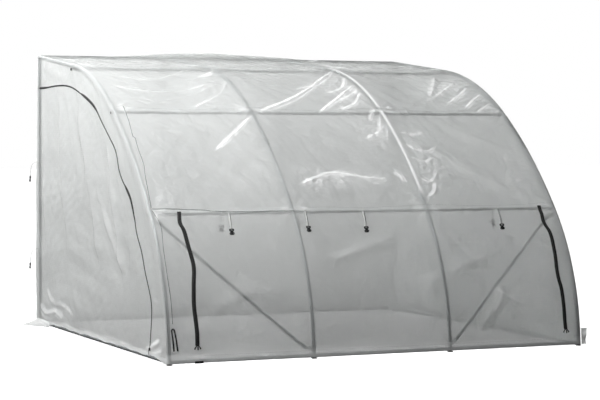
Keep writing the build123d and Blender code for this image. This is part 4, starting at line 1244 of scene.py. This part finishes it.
def corner_tab():
    """The spare film that stands out at the right front corner."""
    across, up = 12, 24
    u, s = np.meshgrid(np.linspace(0, TAB_WIDTH, across), np.linspace(TAB_LOW, TAB_HIGH, up))
    y, z, _ = LINE.at(s, SKIN - 0.004)
    wave = (0.006 * np.sin(30 * s + 40 * u) + 0.004 * np.sin(90 * s)) * u / TAB_WIDTH
    points = np.stack([RIGHT_X + END_PLANE + u * (1 - 0.10 * np.cos(24 * s)), y + wave, z], -1)
    weave = np.stack([u, s, np.zeros_like(u)], -1)
    white = np.full_like(u, 0.35)
    obj = piece("right_corner_tab", points, grid_faces(up, across), DOUBLED_FILM, weave, white)
    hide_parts("front_film_right")


# A turned shape's middle is closed by a ring this small
TURN_CENTRE = 0.0001


def lathe(name, profile, place, axis, material):
    """A turned shape: the profile's (radius, along) spun about the axis."""
    turns = 28
    angle = np.linspace(0, 2 * math.pi, turns, endpoint=False)
    axis = Vector(axis).normalized()
    across = axis.orthogonal().normalized()
    ring = np.cos(angle)[:, None] * np.array(across) + np.sin(angle)[:, None] * np.array(axis.cross(across))
    rows = [np.array(place) + ring * radius + np.array(axis) * along for radius, along in profile]
    faces = []
    for i in range(len(profile) - 1):
        for j in range(turns):
            a, b = i * turns + j, i * turns + (j + 1) % turns
            faces.append((a, b, b + turns, a + turns))
    points = np.concatenate(rows)
    return piece(name, points, faces, material, points)


# A purlin's end cap: how far it stands off the tube's end and side, and its length
CAP_OFF, CAP_THICK, CAP_LENGTH, CAP_EDGE = 0.0006, 0.0009, 0.017, 0.001


def end_caps():
    """A plastic cap over each end of the three purlins."""
    for node in ("middle_purlin", "upper_purlin", "top_purlin"):
        low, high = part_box(node)
        middle = (low + high) / 2
        tube = (high.z - low.z) / 2
        side = tube + CAP_THICK
        profile = [
            (TURN_CENTRE, -CAP_OFF), (tube - CAP_EDGE, -CAP_OFF), (side, 0.0008), (side, CAP_LENGTH),
            (tube, CAP_LENGTH + 0.0005),
        ]
        for end, x, way in (("left", low.x, 1), ("right", high.x, -1)):
            place = (x, middle.y, middle.z)
            lathe(f"{node}_{end}_cap", profile, place, (way, 0, 0), PLASTIC)


# Brace bolts: their holes' places along the hoop and from it, and what their heads bear on
BRACE_TOP_S, BRACE_FOOT_S = 0.946, 0.054
EAR_REACH = 0.046
EAR_DEPTH, EAR_THICK, TAB_THICK = 0.0153, 0.003, 0.002
# An M6 bolt's head, and its washer's hole, outside radius and thickness
BOLT_HEAD, BOLT_HEIGHT = 0.010, 0.004
WASHER_HOLE, WASHER_R, WASHER_THICK = 0.0033, 0.0062, 0.0012


def brace_bolts():
    """An M6 hexagon bolt and washer through each brace's flattened ends."""
    top, foot = (np.array([float(v) for v in LINE.at(s)[:2]]) for s in (BRACE_TOP_S, BRACE_FOOT_S))
    chord = (top - foot) / np.linalg.norm(top - foot)
    normal = np.array([0.0, chord[1], -chord[0]])
    washer = [(WASHER_HOLE, 0.0), (WASHER_R, 0.0), (WASHER_R, WASHER_THICK), (TURN_CENTRE, WASHER_THICK)]
    corner_r = BOLT_HEAD / 2 / math.cos(math.pi / 6)
    turns = [math.radians(60 * k) for k in range(6)]
    head = [(corner_r * math.cos(turn), corner_r * math.sin(turn)) for turn in turns]
    x_way = Vector((1, 0, 0))
    y_way = Vector(normal).cross(x_way)
    for name, start, way in (("left", 0.0, 1), ("right", HOUSE, -1)):
        for end, place, x in (("top", top, way * EAR_REACH), ("foot", foot, way * (BAY - EAR_REACH))):
            hole = np.array([LEFT_X + start + x, *place]) + normal * (EAR_DEPTH + EAR_THICK + TAB_THICK)
            lathe(f"{name}_brace_{end}_washer", washer, hole, normal, CLIP_STEEL)
            middle = Vector(hole) + Vector(normal) * (WASHER_THICK + BOLT_HEIGHT / 2)
            bolt = f"{name}_brace_{end}_bolt"
            plate(bolt, head, [], BOLT_HEIGHT, middle, x_way, y_way, CLIP_STEEL)


def build_trim(end_points):
    front_zip("left", LEFT_ZIP)
    front_zip("right", RIGHT_ZIP)
    door_zip(end_points)
    seam("corner_seam", CORNER_SEAM, 0.0045)
    seam("high_seam", HIGH_SEAM, 0.0045)
    seam("low_seam", LOW_SEAM, 0.0035)
    row_of_stitches("front_seam_stitches", SEAM_S + 0.006, 1.12, HOUSE - 0.02)
    row_of_stitches("roof_seam_stitches", ROOF_SEAM_S, 0.02, HOUSE - 0.02)
    row_of_stitches("hem_stitches", 0.034, 0.23, HOUSE - 0.14)
    ties(end_points)
    corner_strap()
    ground_flap()
    corner_tab()
    end_caps()
    brace_bolts()


# Camera, floor and light

CAMERA_AT = (-5.59218, -12.95663, 1.47419)
CAMERA_YAW, CAMERA_PITCH, CAMERA_ROLL = -0.4133, -0.0351, 0.0018
LENS_MM = 116.73
SENSOR_MM = 36


def camera():
    data = bpy.data.cameras.new("camera")
    data.lens, data.sensor_width = LENS_MM, SENSOR_MM
    data.clip_end = 200
    obj = bpy.data.objects.new("camera", data)
    bpy.context.scene.collection.objects.link(obj)
    cy, sy = math.cos(CAMERA_YAW), math.sin(CAMERA_YAW)
    cp, sp = math.cos(CAMERA_PITCH), math.sin(CAMERA_PITCH)
    ahead = Vector((-sy * cp, cy * cp, sp))
    level = Vector((cy, sy, 0))
    above = level.cross(ahead)
    right = level * math.cos(CAMERA_ROLL) + above * math.sin(CAMERA_ROLL)
    up = above * math.cos(CAMERA_ROLL) - level * math.sin(CAMERA_ROLL)
    turn = Matrix((right, up, -ahead)).transposed().to_4x4()
    obj.matrix_world = Matrix.Translation(CAMERA_AT) @ turn
    bpy.context.scene.camera = obj


def area_light(name, place, aim, size, watts):
    data = bpy.data.lights.new(name, "AREA")
    data.shape, data.size, data.energy = "DISK", size, watts
    obj = bpy.data.objects.new(name, data)
    bpy.context.scene.collection.objects.link(obj)
    obj.location = place
    obj.rotation_euler = (Vector(aim) - Vector(place)).to_track_quat("-Z", "Y").to_euler()
    obj.visible_camera = False


WORLD_LIGHT, BACK_GLOW = 0.10, 1.7
# Where the glow behind fades in along each axis: from none to full
GLOW_FADES = (("X", 0.66, 0.14), ("Y", 0.1, 0.8), ("Z", -0.12, 0.22))
FLOOR_SEEN, FLOOR_BOUNCE, FLOOR_GLOW = 0.86, 0.08, 0.76
FLOOR_REACH, FLOOR_DROP = 60, 0.0005
# The lamps: place, aim, size and watts
LAMPS = {
    "left_light": ((-5.2, 0.6, 3.4), (-1.4, -0.3, 1.4), 1.8, 90),
    "high_light": ((-3.0, -2.2, 4.6), (-0.9, -0.4, 1.5), 1.8, 360),
    "back_light": ((-3.6, 6.0, 5.0), (-1.0, 1.2, 1.5), 3.0, 300),
}


def surround():
    """A surround that the camera sees white, and that lights the house from behind on the left, above the
    ground. Only the camera's own rays see the white: the film's rays would bring it indoors."""
    world = bpy.data.worlds.new("studio")
    bpy.context.scene.world = world
    world.use_nodes = True
    tree = world.node_tree
    tree.nodes.clear()
    seen = add(tree, "LightPath", out="Is Camera Ray")
    where = add(tree, "TexCoord", out="Generated")
    way = add(tree, "SeparateXYZ", {"Vector": where}).node.outputs
    glow = BACK_GLOW
    for axis, low, high in GLOW_FADES:
        links = {"Value": way[axis], "From Min": low, "From Max": high}
        fade = add(tree, "MapRange", links, interpolation_type="SMOOTHSTEP")
        glow = add(tree, "Math", {0: fade, 1: glow}, operation="MULTIPLY")
    plain = add(tree, "Math", {0: glow, 1: WORLD_LIGHT}, operation="ADD")
    strength = add(tree, "MapRange", {"Value": seen, "To Min": plain, "To Max": 1.0})
    light = add(tree, "Background", {"Color": (1, 1, 1, 1), "Strength": strength})
    add(tree, "OutputWorld", {"Surface": light})


def floor():
    """A floor that the camera sees nearly white, and that throws little light back up."""
    mesh = bpy.data.meshes.new("floor")
    corners = [(x * FLOOR_REACH, y * FLOOR_REACH, 0) for x, y in ((-1, -1), (1, -1), (1, 1), (-1, 1))]
    mesh.from_pydata(corners, [], [(0, 1, 2, 3)])
    ground = bpy.data.objects.new("floor", mesh)
    ground.location.z = -FLOOR_DROP
    bpy.context.scene.collection.objects.link(ground)
    made, tree = new_material("floor")
    seen = add(tree, "LightPath", out="Is Camera Ray")
    tone = add(tree, "MapRange", {"Value": seen, "To Min": FLOOR_BOUNCE, "To Max": FLOOR_SEEN})
    lit = add(tree, "BsdfDiffuse", {"Color": tone})
    shown = add(tree, "Math", {0: seen, 1: FLOOR_GLOW}, operation="MULTIPLY")
    glow = add(tree, "Emission", {"Color": (1, 1, 1, 1), "Strength": shown})
    mesh.materials.append(finished(made, add(tree, "AddShader", {0: lit, 1: glow})))


def studio():
    surround()
    for name, (place, aim, size, watts) in LAMPS.items():
        area_light(name, place, aim, size, watts)
    floor()


def finish_frame():
    """Gives every piece of the CAD frame its finish."""
    by_slot = {
        "galvanised_tube": STEEL,
        "steel_clip": CLIP_STEEL,
        "rubber_foot": RUBBER,
        "clear_film": FILM,
        "zip_tape": ZIP_TAPE,
        "tie_strap": STRAP,
        "black_plastic": PLASTIC,
        "black_webbing": WEBBING,
    }
    slots = {part["node"]: part["material_slot"] for part in frame["record"]["subparts"]}
    for name, obj in frame["nodes"].items():
        obj.data.materials.clear()
        obj.data.materials.append(by_slot[slots[name]])


bpy.context.scene.view_settings.view_transform = "Standard"
camera()
studio()
finish_frame()
build_trim(build_cover())

import json
